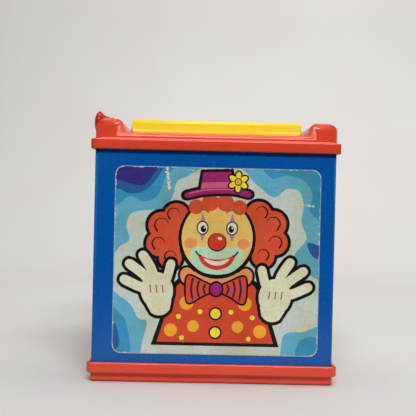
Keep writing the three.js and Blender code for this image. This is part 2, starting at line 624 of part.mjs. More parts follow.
piece('puppet_head', head(), SKIN);
piece('puppet_nose', fitted(ellipsoid([6.5, 6, 6.5], [0, PUPPET.y - 30.5, 98], 14)), RED);
piece('puppet_hat', hat(), HAT);
piece('puppet_hair_right', hair(1), HAIR);
piece('puppet_hair_left', hair(-1), HAIR);
piece('puppet_hand_right', hand(1), GLOVE);
piece('puppet_hand_left', hand(-1), GLOVE);
piece('puppet_sleeve_right', sleeve(1), CLOTH);
piece('puppet_sleeve_left', sleeve(-1), CLOTH);
piece('puppet_collar', collar(), RUFF);
const plate = rodZ(16.5, [67.2, 69.9], [0, PUPPET.y], 24);
piece('neck_plate', plate.subtract(rodZ(1.8, [60, 80], [0, PUPPET.y], 16)), WHITE);
piece('neck_screw', screw(3, 1.6, 1.4, 2.6).translate([0, PUPPET.y, 66.9]), STEEL);
piece('costume', costume(), CLOTH);
const coil = wire(new Helix(SPRING.r, SPRING.bottom, SPRING.top, SPRING.turns), SPRING.wire, 98, 3);
piece('main_spring', coil.translate([0, PUPPET.y, 0]), STEEL);

export default group;
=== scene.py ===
"""Looks of a jack in the box: moulded plastic box, worn picture labels, tune movement and sprung clown."""
import math

import bmesh
import bpy
import numpy as np
from mathutils import Matrix, Vector, noise


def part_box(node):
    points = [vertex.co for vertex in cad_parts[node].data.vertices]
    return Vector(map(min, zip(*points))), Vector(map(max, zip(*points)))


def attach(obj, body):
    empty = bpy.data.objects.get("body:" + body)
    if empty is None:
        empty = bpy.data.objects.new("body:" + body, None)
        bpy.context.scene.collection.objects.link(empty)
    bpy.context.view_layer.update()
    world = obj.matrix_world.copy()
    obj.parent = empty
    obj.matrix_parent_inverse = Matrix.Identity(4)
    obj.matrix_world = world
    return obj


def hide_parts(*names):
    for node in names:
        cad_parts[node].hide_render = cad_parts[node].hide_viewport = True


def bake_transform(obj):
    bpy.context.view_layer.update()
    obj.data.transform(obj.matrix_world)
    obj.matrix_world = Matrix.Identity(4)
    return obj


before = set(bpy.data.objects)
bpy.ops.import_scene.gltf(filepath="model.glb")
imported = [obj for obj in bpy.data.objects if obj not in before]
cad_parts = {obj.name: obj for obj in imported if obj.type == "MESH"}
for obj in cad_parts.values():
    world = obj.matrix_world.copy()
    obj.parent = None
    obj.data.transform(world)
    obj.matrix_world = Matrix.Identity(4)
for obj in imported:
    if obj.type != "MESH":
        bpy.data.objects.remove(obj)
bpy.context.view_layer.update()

MM = 0.001
LABEL = {"left": -58.4, "right": 61.6, "bottom": 16.9, "top": 126.1, "corner": 5.0}
LABEL_HALF = ((LABEL["right"] - LABEL["left"]) / 2, (LABEL["top"] - LABEL["bottom"]) / 2)
LABEL_MIDDLE = ((LABEL["left"] + LABEL["right"]) / 2, (LABEL["bottom"] + LABEL["top"]) / 2)
# Distances of the paper's back, its face and the last layer of ink from the box's axis, mm.
LABEL_BACK, LABEL_FACE, LABEL_FRONT = 70.55, 70.65, 70.84
# The hole for the crank bush in the left label: across and up from the label's middle, and its radius, mm.
CRANK_HOLE = (-29.6, 33.5, 7.4)


def linear(r, g, b):
    """An sRGB colour from 0 to 255 as linear RGBA."""
    channel = [v / 255 for v in (r, g, b)]
    return [v / 12.92 if v <= 0.04045 else ((v + 0.055) / 1.055) ** 2.4 for v in channel] + [1.0]


# ---------------------------------------------------------------- materials
class Shader:
    """A material's node tree, built up from a Principled shader."""

    def __init__(self, name, colour, rough=0.4, metallic=0.0, **sockets):
        self.material = bpy.data.materials.new(name)
        self.material.use_nodes = True
        self.nodes = self.material.node_tree.nodes
        self.links = self.material.node_tree.links
        self.base = self.nodes["Principled BSDF"]
        self.base.inputs["Base Color"].default_value = colour
        self.base.inputs["Roughness"].default_value = rough
        self.base.inputs["Metallic"].default_value = metallic
        for socket, value in sockets.items():
            self.base.inputs[socket.replace("_", " ")].default_value = value
        self.coords = self.nodes.new("ShaderNodeTexCoord").outputs["Object"]
        self.normal = None

    def node(self, kind, inputs=None, **settings):
        """Adds a node; inputs may be values or another node's output."""
        made = self.nodes.new("ShaderNode" + kind)
        for key, value in settings.items():
            setattr(made, key, value)
        for key, value in (inputs or {}).items():
            if isinstance(value, bpy.types.NodeSocket):
                self.links.new(value, made.inputs[key])
            else:
                made.inputs[key].default_value = value
        return made

    def stretched(self, scale):
        """Object coordinates scaled along each axis."""
        return self.node("Mapping", {"Vector": self.coords, "Scale": scale}).outputs[0]

    def cloud(self, scale, detail=4.0, rough=0.55, vector=None):
        """Soft noise from 0 to 1; scale is in features per metre."""
        inputs = {"Vector": vector or self.coords, "Scale": scale, "Detail": detail, "Roughness": rough}
        return self.node("TexNoise", inputs).outputs[0]

    def band(self, value, low, high, to_low=0.0, to_high=1.0):
        """Maps low..high to to_low..to_high, clamped."""
        inputs = {0: value, 1: low, 2: high, 3: to_low, 4: to_high}
        return self.node("MapRange", inputs).outputs[0]

    def math(self, operation, a, b=0.0):
        """One step of arithmetic on two values."""
        return self.node("Math", {0: a, 1: b}, operation=operation).outputs[0]

    def blend(self, share, a, b):
        """Colour a where share is 0 and b where it is 1."""
        made = self.node("Mix", {0: share, 6: a, 7: b}, data_type="RGBA")
        return made.outputs[2]

    def tint(self, share, a, b):
        """Colour a, darkened by colour b where share is 1."""
        made = self.node("Mix", {0: share, 6: a, 7: b}, data_type="RGBA", blend_type="MULTIPLY")
        return made.outputs[2]

    def colour(self, value):
        """Sets the surface's colour."""
        self.links.new(value, self.base.inputs["Base Color"])

    def roughness(self, value):
        """Sets how dull the surface is."""
        self.links.new(value, self.base.inputs["Roughness"])

    def bump(self, height, strength, distance):
        """Adds a bump; distance is in metres."""
        inputs = {"Height": height, "Strength": strength, "Distance": distance}
        if self.normal is not None:
            inputs["Normal"] = self.normal
        self.normal = self.node("Bump", inputs).outputs[0]
        self.links.new(self.normal, self.base.inputs["Normal"])

    def scratches(self, share=0.5):
        """A mask of fine scratches that run in two directions."""
        along = self.cloud(1.0, 2.0, 0.5, self.stretched((2400, 360, 100)))
        across = self.cloud(1.0, 2.0, 0.5, self.stretched((110, 1300, 2300)))
        lines = self.math("MAXIMUM", self.band(along, 0.66, 0.72), self.band(across, 0.68, 0.74))
        patches = self.band(self.cloud(45, 3.0), 1.0 - share, 1.1 - share * 0.6)
        return self.math("MULTIPLY", lines, patches)


def plastic(name, colour, worn, dusty, rough=0.27, scuff=0.5):
    """Old glossy moulded plastic: slight mottling, hairline scratches, dull scuffs and a little dust."""
    s = Shader(name, colour, rough, Specular_IOR_Level=0.36)
    mottled = s.blend(s.band(s.cloud(28, 5.0), 0.3, 0.72), colour, worn)
    marks = s.scratches(scuff)
    scuffs = s.band(s.cloud(60, 5.0, 0.6), 0.6, 0.76, 0.0, 0.5 * scuff)
    dull = s.math("MAXIMUM", s.math("MULTIPLY", marks, 0.45), scuffs)
    s.colour(s.blend(dull, mottled, dusty))
    fine = s.band(s.cloud(300, 3.0, 0.5), 0.3, 0.7, rough - 0.02, rough + 0.05)
    s.roughness(s.math("ADD", fine, s.math("MULTIPLY", dull, 0.35)))
    s.bump(s.cloud(90, 1.0, 0.4), 0.10, 0.0005)
    s.bump(s.cloud(1500, 2.0, 0.5), 0.02, 0.00003)
    s.bump(marks, -0.2, 0.00003)
    return s.material


def printed_paper():
    """Printed label stock: the ink is the mesh's colour layer, stained, rubbed and creased."""
    s = Shader("printed_paper", linear(220, 222, 214), 0.42, Specular_IOR_Level=0.3)
    ink = s.node("VertexColor", layer_name="ink").outputs[0]
    stained = s.tint(s.band(s.cloud(38, 6.0, 0.6), 0.4, 0.72), ink, linear(238, 230, 206))
    hatch = s.math("MAXIMUM", s.cloud(1.0, 3.0, 0.6, s.stretched((1500, 900, 220))),
                   s.cloud(1.0, 3.0, 0.6, s.stretched((220, 900, 1500))))
    woven = s.tint(s.band(hatch, 0.5, 0.74), stained, linear(236, 236, 233))
    fleck = s.band(s.cloud(620, 4.0, 0.7), 0.66, 0.76, 0.0, 0.2)
    faded = s.blend(fleck, woven, linear(214, 212, 200))
    crease = s.band(s.cloud(1.0, 3.0, 0.6, s.stretched((240, 240, 900))), 0.68, 0.73)
    s.colour(s.tint(crease, faded, linear(206, 200, 184)))
    s.roughness(s.band(s.cloud(300, 5.0), 0.3, 0.7, 0.36, 0.52))
    s.bump(s.cloud(900, 3.0, 0.55), 0.12, 0.00006)
    s.bump(s.cloud(55, 2.0, 0.5), 0.25, 0.0004)
    return s.material


def metal(name, colour, rough, tarnish):
    """Plated or plain metal with drawn grain and dull spots."""
    s = Shader(name, colour, rough, 1.0)
    spots = s.band(s.cloud(180, 6.0, 0.65), 0.45, 0.8, 0.0, 0.6)
    s.colour(s.blend(spots, colour, tarnish))
    grain = s.cloud(1.0, 3.0, 0.6, s.stretched((300, 2400, 2400)))
    s.roughness(s.band(grain, 0.25, 0.75, rough - 0.08, rough + 0.2))
    s.bump(grain, 0.08, 0.00004)
    return s.material


def cloth(name, colour, shade, thread=4200, sheen=0.4, dots=None):
    """Woven cotton: crossing threads, faded folds and, if asked, a printed pattern of dots."""
    s = Shader(name, colour, 0.85, Sheen_Weight=sheen, Sheen_Roughness=0.5)
    worn = s.blend(s.band(s.cloud(60, 5.0), 0.3, 0.75), colour, shade)
    if dots:
        cell = s.node("TexVoronoi", {"Vector": s.coords, "Scale": 95.0, "Randomness": 0.35}).outputs[0]
        worn = s.blend(s.band(cell, 0.30, 0.33, 1.0, 0.0), worn, dots)
    warp = s.node("TexWave", {"Vector": s.coords, "Scale": thread / 6.28, "Distortion": 1.2}).outputs[1]
    weft = s.node(
        "TexWave", {"Vector": s.coords, "Scale": thread / 6.28, "Distortion": 1.2}, bands_direction="Z"
    ).outputs[1]
    weave = s.math("MULTIPLY", warp, weft)
    s.colour(s.blend(s.math("MULTIPLY", weave, 0.25), worn, shade))
    s.bump(weave, 0.5, 0.0001)
    s.bump(s.cloud(220, 4.0), 0.3, 0.0006)
    return s.material


def felt(name, colour, shade):
    """Pressed wool felt: matted fibres, without a weave."""
    s = Shader(name, colour, 0.9, Sheen_Weight=0.5, Sheen_Roughness=0.5)
    s.colour(s.blend(s.band(s.cloud(70, 5.0), 0.3, 0.75), colour, shade))
    s.bump(s.cloud(1100, 6.0, 0.7), 0.5, 0.0003)
    s.bump(s.cloud(160, 3.0), 0.25, 0.0006)
    return s.material


def vinyl(name, colour, blush):
    """Soft moulded vinyl with a warm, slightly waxy depth."""
    s = Shader(name, colour, 0.42, Subsurface_Weight=0.25, Coat_Weight=0.08)
    s.base.inputs["Subsurface Radius"].default_value = (0.006, 0.0025, 0.0012)
    s.colour(s.blend(s.band(s.cloud(50, 4.0), 0.35, 0.75, 0.0, 0.6), colour, blush))
    s.roughness(s.band(s.cloud(260, 5.0), 0.3, 0.7, 0.36, 0.52))
    s.bump(s.cloud(1300, 3.0), 0.12, 0.0001)
    return s.material


def pressed_board():
    """Brown pressed board with fibres."""
    s = Shader("pressed_board", linear(150, 120, 84), 0.85)
    fibre = s.cloud(1.0, 5.0, 0.7, s.stretched((350, 1400, 350)))
    s.colour(s.blend(s.band(fibre, 0.3, 0.7), linear(158, 128, 92), linear(112, 86, 56)))
    s.bump(fibre, 0.4, 0.0002)
    return s.material


def backdrop_paper():
    """The plain pale sheet that the object stands on."""
    s = Shader("backdrop_paper", linear(200, 197, 194), 0.75)
    s.colour(s.blend(s.band(s.cloud(3.0, 3.0), 0.3, 0.7), linear(202, 199, 196), linear(196, 192, 189)))
    s.bump(s.cloud(500, 4.0), 0.05, 0.0002)
    return s.material


RED = plastic("red_plastic", linear(216, 66, 42), linear(221, 74, 49), linear(228, 140, 120), 0.16, 0.3)
# The crank knob's plastic is darker than the frame's red. Part of that is a deeper red, and part is painted
# shade for the shade the knob sits in behind the rail.
KNOB_RED_PAINTED_SHADE = plastic("knob_plastic", linear(170, 30, 24), linear(178, 37, 28), linear(200, 96, 84), 0.2, 0.2)
BLUE = plastic("blue_plastic", linear(0, 81, 160), linear(2, 86, 165), linear(60, 120, 180), 0.24, 0.12)
YELLOW = plastic(
    "yellow_plastic", linear(249, 213, 48), linear(250, 217, 60), linear(238, 222, 150), 0.16, 0.3
)
WHITE = plastic(
    "white_plastic", linear(232, 228, 216), linear(226, 220, 204), linear(200, 190, 170), 0.4, 0.3
)
PAPER = printed_paper()
STEEL = metal("steel", linear(196, 198, 202), 0.3, linear(130, 126, 120))
BRASS = metal("brass", linear(214, 176, 96), 0.32, linear(140, 106, 56))
BOARD = pressed_board()
SKIN = vinyl("face_vinyl", linear(236, 172, 126), linear(226, 140, 100))
GLOVE = vinyl("glove_vinyl", linear(240, 232, 210), linear(224, 212, 184))
MOUTH = vinyl("mouth_white", linear(238, 238, 228), linear(222, 226, 214))
NOSE = plastic("nose_plastic", linear(206, 34, 26), linear(214, 44, 32), linear(226, 120, 100), 0.2, 0.2)
COTTON = cloth("costume_cotton", linear(200, 44, 34), linear(160, 30, 26), dots=linear(244, 176, 40))
RUFF = cloth("ruff_cotton", linear(240, 160, 52), linear(214, 130, 40))
FELT = felt("hat_felt", linear(168, 30, 104), linear(140, 24, 88))
FELT_PINK = cloth("hat_band", linear(226, 110, 160), linear(200, 88, 138))
YARN = cloth("hair_yarn", linear(226, 84, 36), linear(190, 60, 26), 2000, 0.7)
EYE = plastic("eye_paint", linear(18, 16, 18), linear(24, 20, 22), linear(60, 56, 56), 0.2, 0.1)
BLUSH = vinyl("cheek_pink", linear(232, 120, 96), linear(224, 104, 84))
PURPLE = vinyl("eye_purple", linear(150, 84, 160), linear(136, 70, 148))


# ---------------------------------------------------------------- pieces
def finish_piece(obj, body, nodes=(), materials=()):
    """Puts materials on a piece, lets it ride on its body and hides the CAD nodes it stands for."""
    for material in materials:
        obj.data.materials.append(material)
    if body:
        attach(obj, body)
    if nodes:
        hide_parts(*nodes)
    return obj


def mesh_object(name, verts, faces, smooth=True):
    """A new mesh object from points in metres."""
    mesh = bpy.data.meshes.new(name)
    mesh.from_pydata([tuple(v) for v in verts], [], faces)
    mesh.update()
    mesh.polygons.foreach_set("use_smooth", [smooth] * len(mesh.polygons))
    obj = bpy.data.objects.new(name, mesh)
    bpy.context.collection.objects.link(obj)
    return obj


def moulded(node, body, material, edge=0.5, steps=3):
    """A copy of a CAD node whose sharp edges, where long enough, are eased by a bevel of edge mm."""
    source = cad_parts[node]
    mesh = source.data.copy()
    mesh.materials.clear()
    obj = bpy.data.objects.new(node + "_moulded", mesh)
    bpy.context.collection.objects.link(obj)
    edit = bmesh.new()
    edit.from_mesh(mesh)
    bmesh.ops.remove_doubles(edit, verts=edit.verts, dist=1e-6)
    bmesh.ops.dissolve_limit(edit, angle_limit=math.radians(1), verts=edit.verts, edges=edit.edges)
    # A face that runs round an opening would overlap itself once bevelled, and close the opening.
    bmesh.ops.connect_verts_concave(edit, faces=edit.faces)
    weight = edit.edges.layers.float.new("bevel_weight_edge")
    for line in edit.edges:
        turn = line.calc_face_angle(0.0)
        line[weight] = float(turn > math.radians(30) and line.calc_length() > 3 * edge * MM)
    edit.to_mesh(mesh)
    edit.free()
    mesh.polygons.foreach_set("use_smooth", [True] * len(mesh.polygons))
    bevel = obj.modifiers.new("eased", "BEVEL")
    bevel.width = edge * MM
    bevel.segments = steps
    bevel.limit_method = "WEIGHT"
    bevel.use_clamp_overlap = False
    bevel.harden_normals = True
    normals = obj.modifiers.new("normals", "WEIGHTED_NORMAL")
    normals.keep_sharp = True
    return finish_piece(obj, body, [node], [material])


# ---------------------------------------------------------------- label art
def spline(points, closed=False, steps=8):
    """A Catmull-Rom curve through points, as a list of points."""
    count = len(points)
    get = (lambda i: points[i % count]) if closed else (lambda i: points[min(max(i, 0), count - 1)])
    curve = []
    for i in range(count if closed else count - 1):
        p0, p1, p2, p3 = (np.array(get(i + k), float) for k in (-1, 0, 1, 2))
        for j in range(steps):
            t = j / steps
            curve.append(
                0.5 * (2 * p1 + (p2 - p0) * t + (2 * p0 - 5 * p1 + 4 * p2 - p3) * t * t
                       + (3 * p1 - p0 - 3 * p2 + p3) * t ** 3)
            )
    if not closed:
        curve.append(np.array(points[-1], float))
    return curve


def mirrored(points):
    """The same points on the other side of the middle."""
    return [(-x, y) for x, y in points]


class Print:
    """Flat ink shapes laid on a label, each in front of the last. Points are mm from its centre."""

    def __init__(self):
        self.verts, self.faces, self.inks = [], [], []
        self.layer = 0
        self.half = LABEL_HALF

    def add(self, points, ink, faces=None):
        """Adds points as one face, or as the faces listed, moving any beyond the label to its edge."""
        first = len(self.verts)
        w, h = self.half
        self.layer += 1
        for u, v in points:
            self.verts.append((min(max(u, -w), w), min(max(v, -h), h), self.layer))
        for face in faces or [list(range(len(points)))]:
            self.faces.append([first + i for i in face])
            self.inks.append(ink)

    def area(self, points, ink, steps=8):
        """A filled smooth closed shape."""
        self.add(spline(points, True, steps), ink)

    def flat(self, points, ink):
        """A filled shape with straight sides."""
        self.add(points, ink)

    def oval(self, centre, radii, ink, tilt=0.0, count=40):
        """A filled oval, tilted by some degrees."""
        c, s = math.cos(math.radians(tilt)), math.sin(math.radians(tilt))
        points = []
        for i in range(count):
            a = 2 * math.pi * i / count
            x, y = radii[0] * math.cos(a), radii[1] * math.sin(a)
            points.append((centre[0] + c * x - s * y, centre[1] + s * x + c * y))
        self.add(points, ink)

    def line(self, points, width, ink, tip=None, steps=8):
        """A stroke along a smooth curve, narrowing to width tip if that is given, with round ends."""
        curve = spline(points, False, steps)
        last = len(curve) - 1
        outline, faces = [], []
        for i, p in enumerate(curve):
            ahead = curve[min(i + 1, last)] - curve[max(i - 1, 0)]
            ahead = ahead / max(np.hypot(*ahead), 1e-9)
            normal = np.array([-ahead[1], ahead[0]])
            here = (width if tip is None else width + (tip - width) * i / last) / 2
            outline += [tuple(p + normal * here), tuple(p - normal * here)]
            if i in (0, last):
                end = math.copysign(1, i - 0.5)
                cap = [end * 2 * k / 8 - end for k in range(1, 8)]
                round_end = [(normal * -c + ahead * end * math.sqrt(1 - c * c)) * here for c in cap]
                caps = [len(outline) - 2 if end > 0 else len(outline) - 1]
                outline += [tuple(p + offset) for offset in round_end]
                caps += list(range(len(outline) - 7, len(outline)))
                caps.append(len(outline) - 8 if end > 0 else len(outline) - 9)
                faces.append(caps)
        pairs = [0] + [9 + 2 * i for i in range(last)]
        for a, b in zip(pairs, pairs[1:]):
            faces.append([a, a + 1, b + 1, b])
        self.add(outline, ink, faces)

    def loop(self, points, width, ink, steps=8):
        """A closed stroke."""
        self.line([*points, points[0]] if steps == 1 else spline(points, True, steps) + [points[0]],
                  width, ink, steps=1)


# The inks of the labels.
SKY = linear(98, 174, 204)
MID_BLUE = linear(56, 148, 194)
DEEP_BLUE = linear(38, 94, 160)
INDIGO = linear(50, 42, 128)
PAPER_GREY = linear(198, 210, 201)
BLACK = linear(6, 5, 6)
CREAM = linear(225, 223, 197)
TAN = linear(234, 194, 106)
PEACH = linear(232, 150, 92)
ORANGE_RED = linear(216, 82, 52)
SHIRT = linear(213, 73, 43)
DOT = linear(244, 172, 44)
LEMON = linear(250, 228, 50)
HAT = linear(160, 34, 112)
HAT_PINK = linear(214, 92, 148)
LILAC = linear(176, 122, 178)
MINT = linear(186, 220, 190)
PALE_PINK = linear(236, 214, 214)
NAVY = linear(38, 26, 78)
NOSE_RED = linear(210, 60, 42)
SHADE = linear(150, 96, 62)
BARE = linear(230, 228, 216)
RUBBED = linear(160, 176, 186)


def sky_corners(art):
    """Wavy bands of blue in the corners round the pale middle."""
    top_left = [(-64, 58), (-10, 58), (-17, 50), (-24, 46), (-27, 36), (-33, 30), (-42, 29), (-50, 27),
                (-53, 20), (-51, 12), (-56, 8), (-64, 4)]
    top_right = [(64, 58), (16, 58), (18, 50), (25, 43), (33, 38), (40, 43), (47, 42), (50, 34),
                 (49, 24), (52, 14), (46, 6), (44, -2), (52, -6), (64, -4)]
    low_left = [(-64, -20), (-55, -22), (-49, -27), (-45, -34), (-40, -36), (-42, -46),
                (-46, -58), (-64, -58)]
    low_right = [(64, -37), (52, -40), (42, -41), (39, -46), (41, -58), (64, -58)]
    for band in (top_left, top_right, low_left, low_right):
        art.area(band, SKY)
    art.area([(-64, 56), (-22, 58), (-30, 50), (-35, 38), (-43, 34), (-51, 37), (-57, 33), (-64, 30)],
             MID_BLUE)
    art.area([(64, 58), (27, 58), (31, 49), (40, 51), (50, 48), (55, 40), (54, 30), (64, 26)], MID_BLUE)
    art.area([(64, 8), (53, 12), (56, 4), (64, 2)], DEEP_BLUE)
    art.area([(-64, -28), (-55, -32), (-51, -40), (-50, -58), (-64, -58)], MID_BLUE)
    art.area([(64, -44), (50, -45), (48, -58), (64, -58)], MID_BLUE)
    art.area([(-64, 39), (-58, 41), (-52, 38.6), (-45, 39.4), (-38.6, 44), (-33, 52), (-31, 58), (-64, 58)],
             DEEP_BLUE)
    art.area([(-64, 44), (-58, 46), (-50, 44), (-43.6, 43.6), (-38.4, 49), (-36, 58), (-64, 58)], INDIGO)
    art.area([(-64, -34), (-58, -38), (-56, -50), (-64, -54)], DEEP_BLUE)


def curls(art, ink, extra):
    """Round puffs of hair on both sides of the head, extra mm wider for their outline."""
    for side in (-1, 1):
        for x, y, r in ((22, 15, 8.4), (24, 27, 7.4), (32.4, 21.4, 7.8), (34, 10.6, 7.2), (27, 2.6, 6.6)):
            art.oval((side * x, y + side), (r + extra, r + extra), ink)


def clown_hair(art):
    """The puffs of hair with their outline and a few curled strokes."""
    curls(art, BLACK, 1.9)
    curls(art, ORANGE_RED, 0.0)
    for side in (-1, 1):
        for x, y, r in ((32.4, 21.4, 4.2), (34, 10.6, 3.8), (27, 3.2, 3.4), (25.6, 28, 3.6)):
            turns = (-0.9, 0.1, 1.1, 2.1, 3.0)
            arc = [(side * (x + r * math.cos(a)), y + side + r * math.sin(a)) for a in turns]
            art.line(arc, 1.0, BLACK, 0.3)


def clown_hat(art):
    """A small flat-topped hat with a ribbon."""
    art.flat([(-12.4, 40), (-10.4, 53.4), (8.6, 54.2), (11.8, 41)], BLACK)
    art.line([(-18.4, 38.2), (-9, 40.4), (0, 41.2), (9, 41.2), (18, 39.4)], 6.6, BLACK)
    art.flat([(-10.2, 42), (-8.8, 51.8), (7.2, 52.4), (9.8, 42.6)], HAT)
    art.flat([(-10.2, 42), (-9.6, 45.8), (9.2, 46.6), (9.8, 42.6)], HAT_PINK)
    art.line([(-17.8, 38.2), (-9, 40.4), (0, 41.2), (9, 41.2), (17.6, 39.4)], 3.4, HAT)
    art.line([(-16.8, 39.2), (-9, 41.2), (0, 42), (9, 42)], 0.9, HAT_PINK)


def clown_face(art):
    """The head with a fringe, painted eyes, a round nose and a wide smile."""
    art.oval((0, 13.4), (22.6, 23.6), BLACK)
    art.oval((0, 13.8), (20.7, 21.6), TAN)
    for x, y, r in ((-12.6, 31.6, 4.4), (-4.4, 34.2, 5.0), (4.4, 34.2, 5.0), (12.6, 31.6, 4.4)):
        art.oval((x, y), (r, r), ORANGE_RED)
    for side in (-1, 1):
        art.oval((side * 15.4, 10.4), (3.6, 3.0), PEACH)
    muzzle = [(-15.6, 5.4), (-9.6, 8.8), (0, 6.4), (9.6, 8.8), (15.6, 5.4), (14, -1.6), (8, -6.4),
              (0, -7.6), (-8, -6.4), (-14, -1.6)]
    art.area(muzzle, MINT)
    smile = [(-10.8, 3.8), (-5.6, 1.8), (0, 1.2), (5.6, 1.8), (10.8, 3.8), (7.6, -2.2), (0, -5),
             (-7.6, -2.2)]
    art.area(smile, NOSE_RED)
    art.area([(-7.4, 1.6), (0, 0), (7.4, 1.6), (4.4, -1.4), (0, -2.4), (-4.4, -1.4)], PALE_PINK)
    for side in (-1, 1):
        art.line([(side * 12.2, 5.6), (side * 10.8, 3.8), (side * 9.4, 3.2)], 0.9, BLACK)
        x, y = side * 8.6, 19.4
        art.flat([(x - 2.6, y), (x, y + 9), (x + 2.6, y), (x, y - 8.4)], LILAC)
        art.oval((x, y), (3.5, 4.1), BLACK)
        art.oval((x, y), (2.8, 3.4), BARE)
        art.oval((x - side * 0.5, y - 0.6), (1.6, 2.0), BLACK)
        art.oval((x - side * 0.5 + 0.6, y + 0.2), (0.5, 0.6), BARE)
        art.line([(x - 3.4, y + 9.2), (x, y + 10.8), (x + 3.4, y + 9.2)], 0.9, SHADE)
    art.oval((0, 11.2), (5.6, 5.4), BLACK)
    art.oval((0, 11.4), (5.0, 4.8), NOSE_RED)
    art.oval((1.5, 13.4), (1.3, 0.9), BARE, -20)


def clown_shirt(art):
    """A dotted shirt with pompom buttons under a scalloped ruff."""
    left_border = [(-15.5, -4), (-25.4, -13.5), (-31, -30), (-37.4, -49.4)]
    left_side = [(-15, -7), (-23, -15), (-28.6, -30), (-34, -47.5)]
    for half, ink in ((left_border, BLACK), (left_side, SHIRT)):
        art.flat(half + mirrored(half)[::-1], ink)
    for x, y, r in ((-17, -24.5, 4.0), (-26, -40.5, 3.8), (17, -24.5, 4.0), (26, -40.5, 3.8),
                    (-13, -38, 3.4), (13, -38, 3.4)):
        art.oval((x, y), (r, r), DOT)
    for x, y in ((-9, -29.5), (-21.5, -32.5), (9, -29.5), (21.5, -32.5), (-19.5, -45), (19.5, -45)):
        art.oval((x, y), (1.4, 1.4), LEMON)
    for y in (-30.5, -41.5):
        art.oval((0, y), (3.9, 3.9), BLACK)
        art.oval((0, y), (2.9, 2.9), LEMON)
    for extra, ink in ((1.4, BLACK), (0.0, PEACH)):
        for k in range(-3, 4):
            art.oval((5.6 * k, -12.6 + 0.42 * k * k), (4.2 + extra, 5.0 + extra), ink, -6 * k)


def bow_tie(art):
    """A wide striped bow under the chin."""
    knot = -16.2  # height of its middle
    for side in (-1, 1):
        wing = [(side * 1.5, -16), (side * 9, -11.4), (side * 16.4, -8.8), (side * 17.6, -16.6),
                (side * 16, -24.4), (side * 9, -20.8)]
        art.loop(wing, 2.2, BLACK)
        art.area(wing, SHIRT)
        for x, reach in ((6.4, 2.6), (10, 4.4), (13.6, 6.0)):
            stripe = [(side * x, knot + reach), (side * (x + 0.9), knot), (side * x, knot - reach)]
            art.line(stripe, 1.2, NAVY)
    art.oval((0, knot), (4.4, 4.8), BLACK)
    art.oval((0, knot), (3.3, 3.7), HAT)


def glove(art, wrist, palm, fingers, ink, extra):
    """A gloved hand: an oval palm and round-ended fingers, extra mm wider for its outline."""
    art.oval(palm[:2], (palm[2] + extra, palm[3] + extra), ink, palm[4])
    art.line([palm[:2], wrist], 2 * (palm[2] - 2.2 + extra), ink, steps=1)
    for tip, bend, width in fingers:
        root = (palm[0] * 0.7 + bend[0] * 0.3, palm[1] * 0.7 + bend[1] * 0.3)
        art.line([root, bend, tip], width + 2 * extra, ink, steps=6)


def gloves(art):
    """Both hands, held up with spread fingers."""
    fingers = [((53.4, -11.6), (44.4, -15.6), 5.6), ((50.6, -2.4), (42.4, -8.4), 5.6),
               ((42.8, 2.6), (38, -5), 5.6), ((26.6, -2), (29, -11), 5.2)]
    hands = []
    for side, drop in ((-1, 0), (1, -2.6)):
        moved = [((side * tip[0], tip[1] + drop), (side * bend[0], bend[1] + drop), wide)
                 for tip, bend, wide in fingers]
        hands.append(((side * 33, -25 + drop), (side * 34.4, -17.5 + drop, 9.4, 10.6, side * -8), moved))
    for extra, ink in ((1.9, BLACK), (0.0, CREAM)):
        for wrist, palm, moved in hands:
            glove(art, wrist, palm, moved, ink, extra)
    for side, drop in ((-1, 0), (1, -2.6)):
        for x in (31.4, 35, 38.6):
            art.line([(side * x, -14.6 + drop), (side * (x - 0.6), -18.6 + drop)], 0.7, SHADE)


def flower(art):
    """A yellow flower in the hat's ribbon."""
    centre = (11.6, 46.6)
    for extra, ink in ((0.9, BLACK), (0.0, LEMON)):
        for k in range(6):
            a = math.radians(60 * k + 28)
            petal = (centre[0] + 3.6 * math.cos(a), centre[1] + 3.6 * math.sin(a))
            art.oval(petal, (2.3 + extra, 1.5 + extra), ink, 60 * k + 28, 20)
    art.oval(centre, (2.3, 2.3), BLACK, count=20)
    art.oval(centre, (1.7, 1.7), DOT, count=20)


def clown_picture():
    """The front label's picture: a cheerful clown that waves with both hands."""
    art = Print()
    sky_corners(art)
    clown_shirt(art)
    clown_hair(art)
    clown_face(art)
    clown_hat(art)
    bow_tie(art)
    gloves(art)
    flower(art)
    return art


def balloon_picture():
    """A plain picture for the other walls: three balloons on strings."""
    art = Print()
    sky_corners(art)
    balloons = ((-19, 12, -12, SHIRT), (19, 14, 12, LEMON), (0, 20, 0, HAT))
    for x, y, tilt, ink in balloons:
        art.line([(x * 0.9, y - 18), (x * 0.7, -12), (x * 0.15, -30), (0, -42)], 0.9, BLACK)
        art.oval((x, y), (15.6, 18.6), BLACK, tilt)
        art.oval((x, y), (13.8, 16.8), ink, tilt)
        art.oval((x - 4.5, y + 7), (2.6, 4.2), BARE, -28)
    art.area([(-3, -40), (-12, -34), (-11, -47), (-2, -43), (11, -48), (12, -35), (3, -40)], BLACK, 4)
    art.area([(-3, -41), (-10, -36.5), (-9.4, -45), (-2, -42.6), (9.4, -46), (10.4, -37), (3, -41)], DOT, 4)
    return art


def rounded_border(half, inset=0.0):
    """Points round a label's edge, anticlockwise from the right, inset by some mm."""
    w, h = half
    r = LABEL["corner"]
    border = []
    for k, (su, sv) in enumerate(((1, 1), (-1, 1), (-1, -1), (1, -1))):
        for a in np.linspace(0, math.pi / 2, 9):
            turn = a + k * math.pi / 2
            reach = r - inset
            border.append((su * (w - r) + reach * math.cos(turn), sv * (h - r) + reach * math.sin(turn)))
    return border


def flake(art, rng, u, v, long, wide, turn):
    """One ragged spot of bare paper, turned by some radians."""
    corners = 9
    c, s = math.cos(turn), math.sin(turn)
    points = []
    for k in range(corners):
        a = 2 * math.pi * k / corners
        r = rng.uniform(0.45, 1.0)
        x, y = long * r * math.cos(a), wide * r * math.sin(a)
        points.append((u + x * c - y * s, v + x * s + y * c))
    art.add(points, BARE)


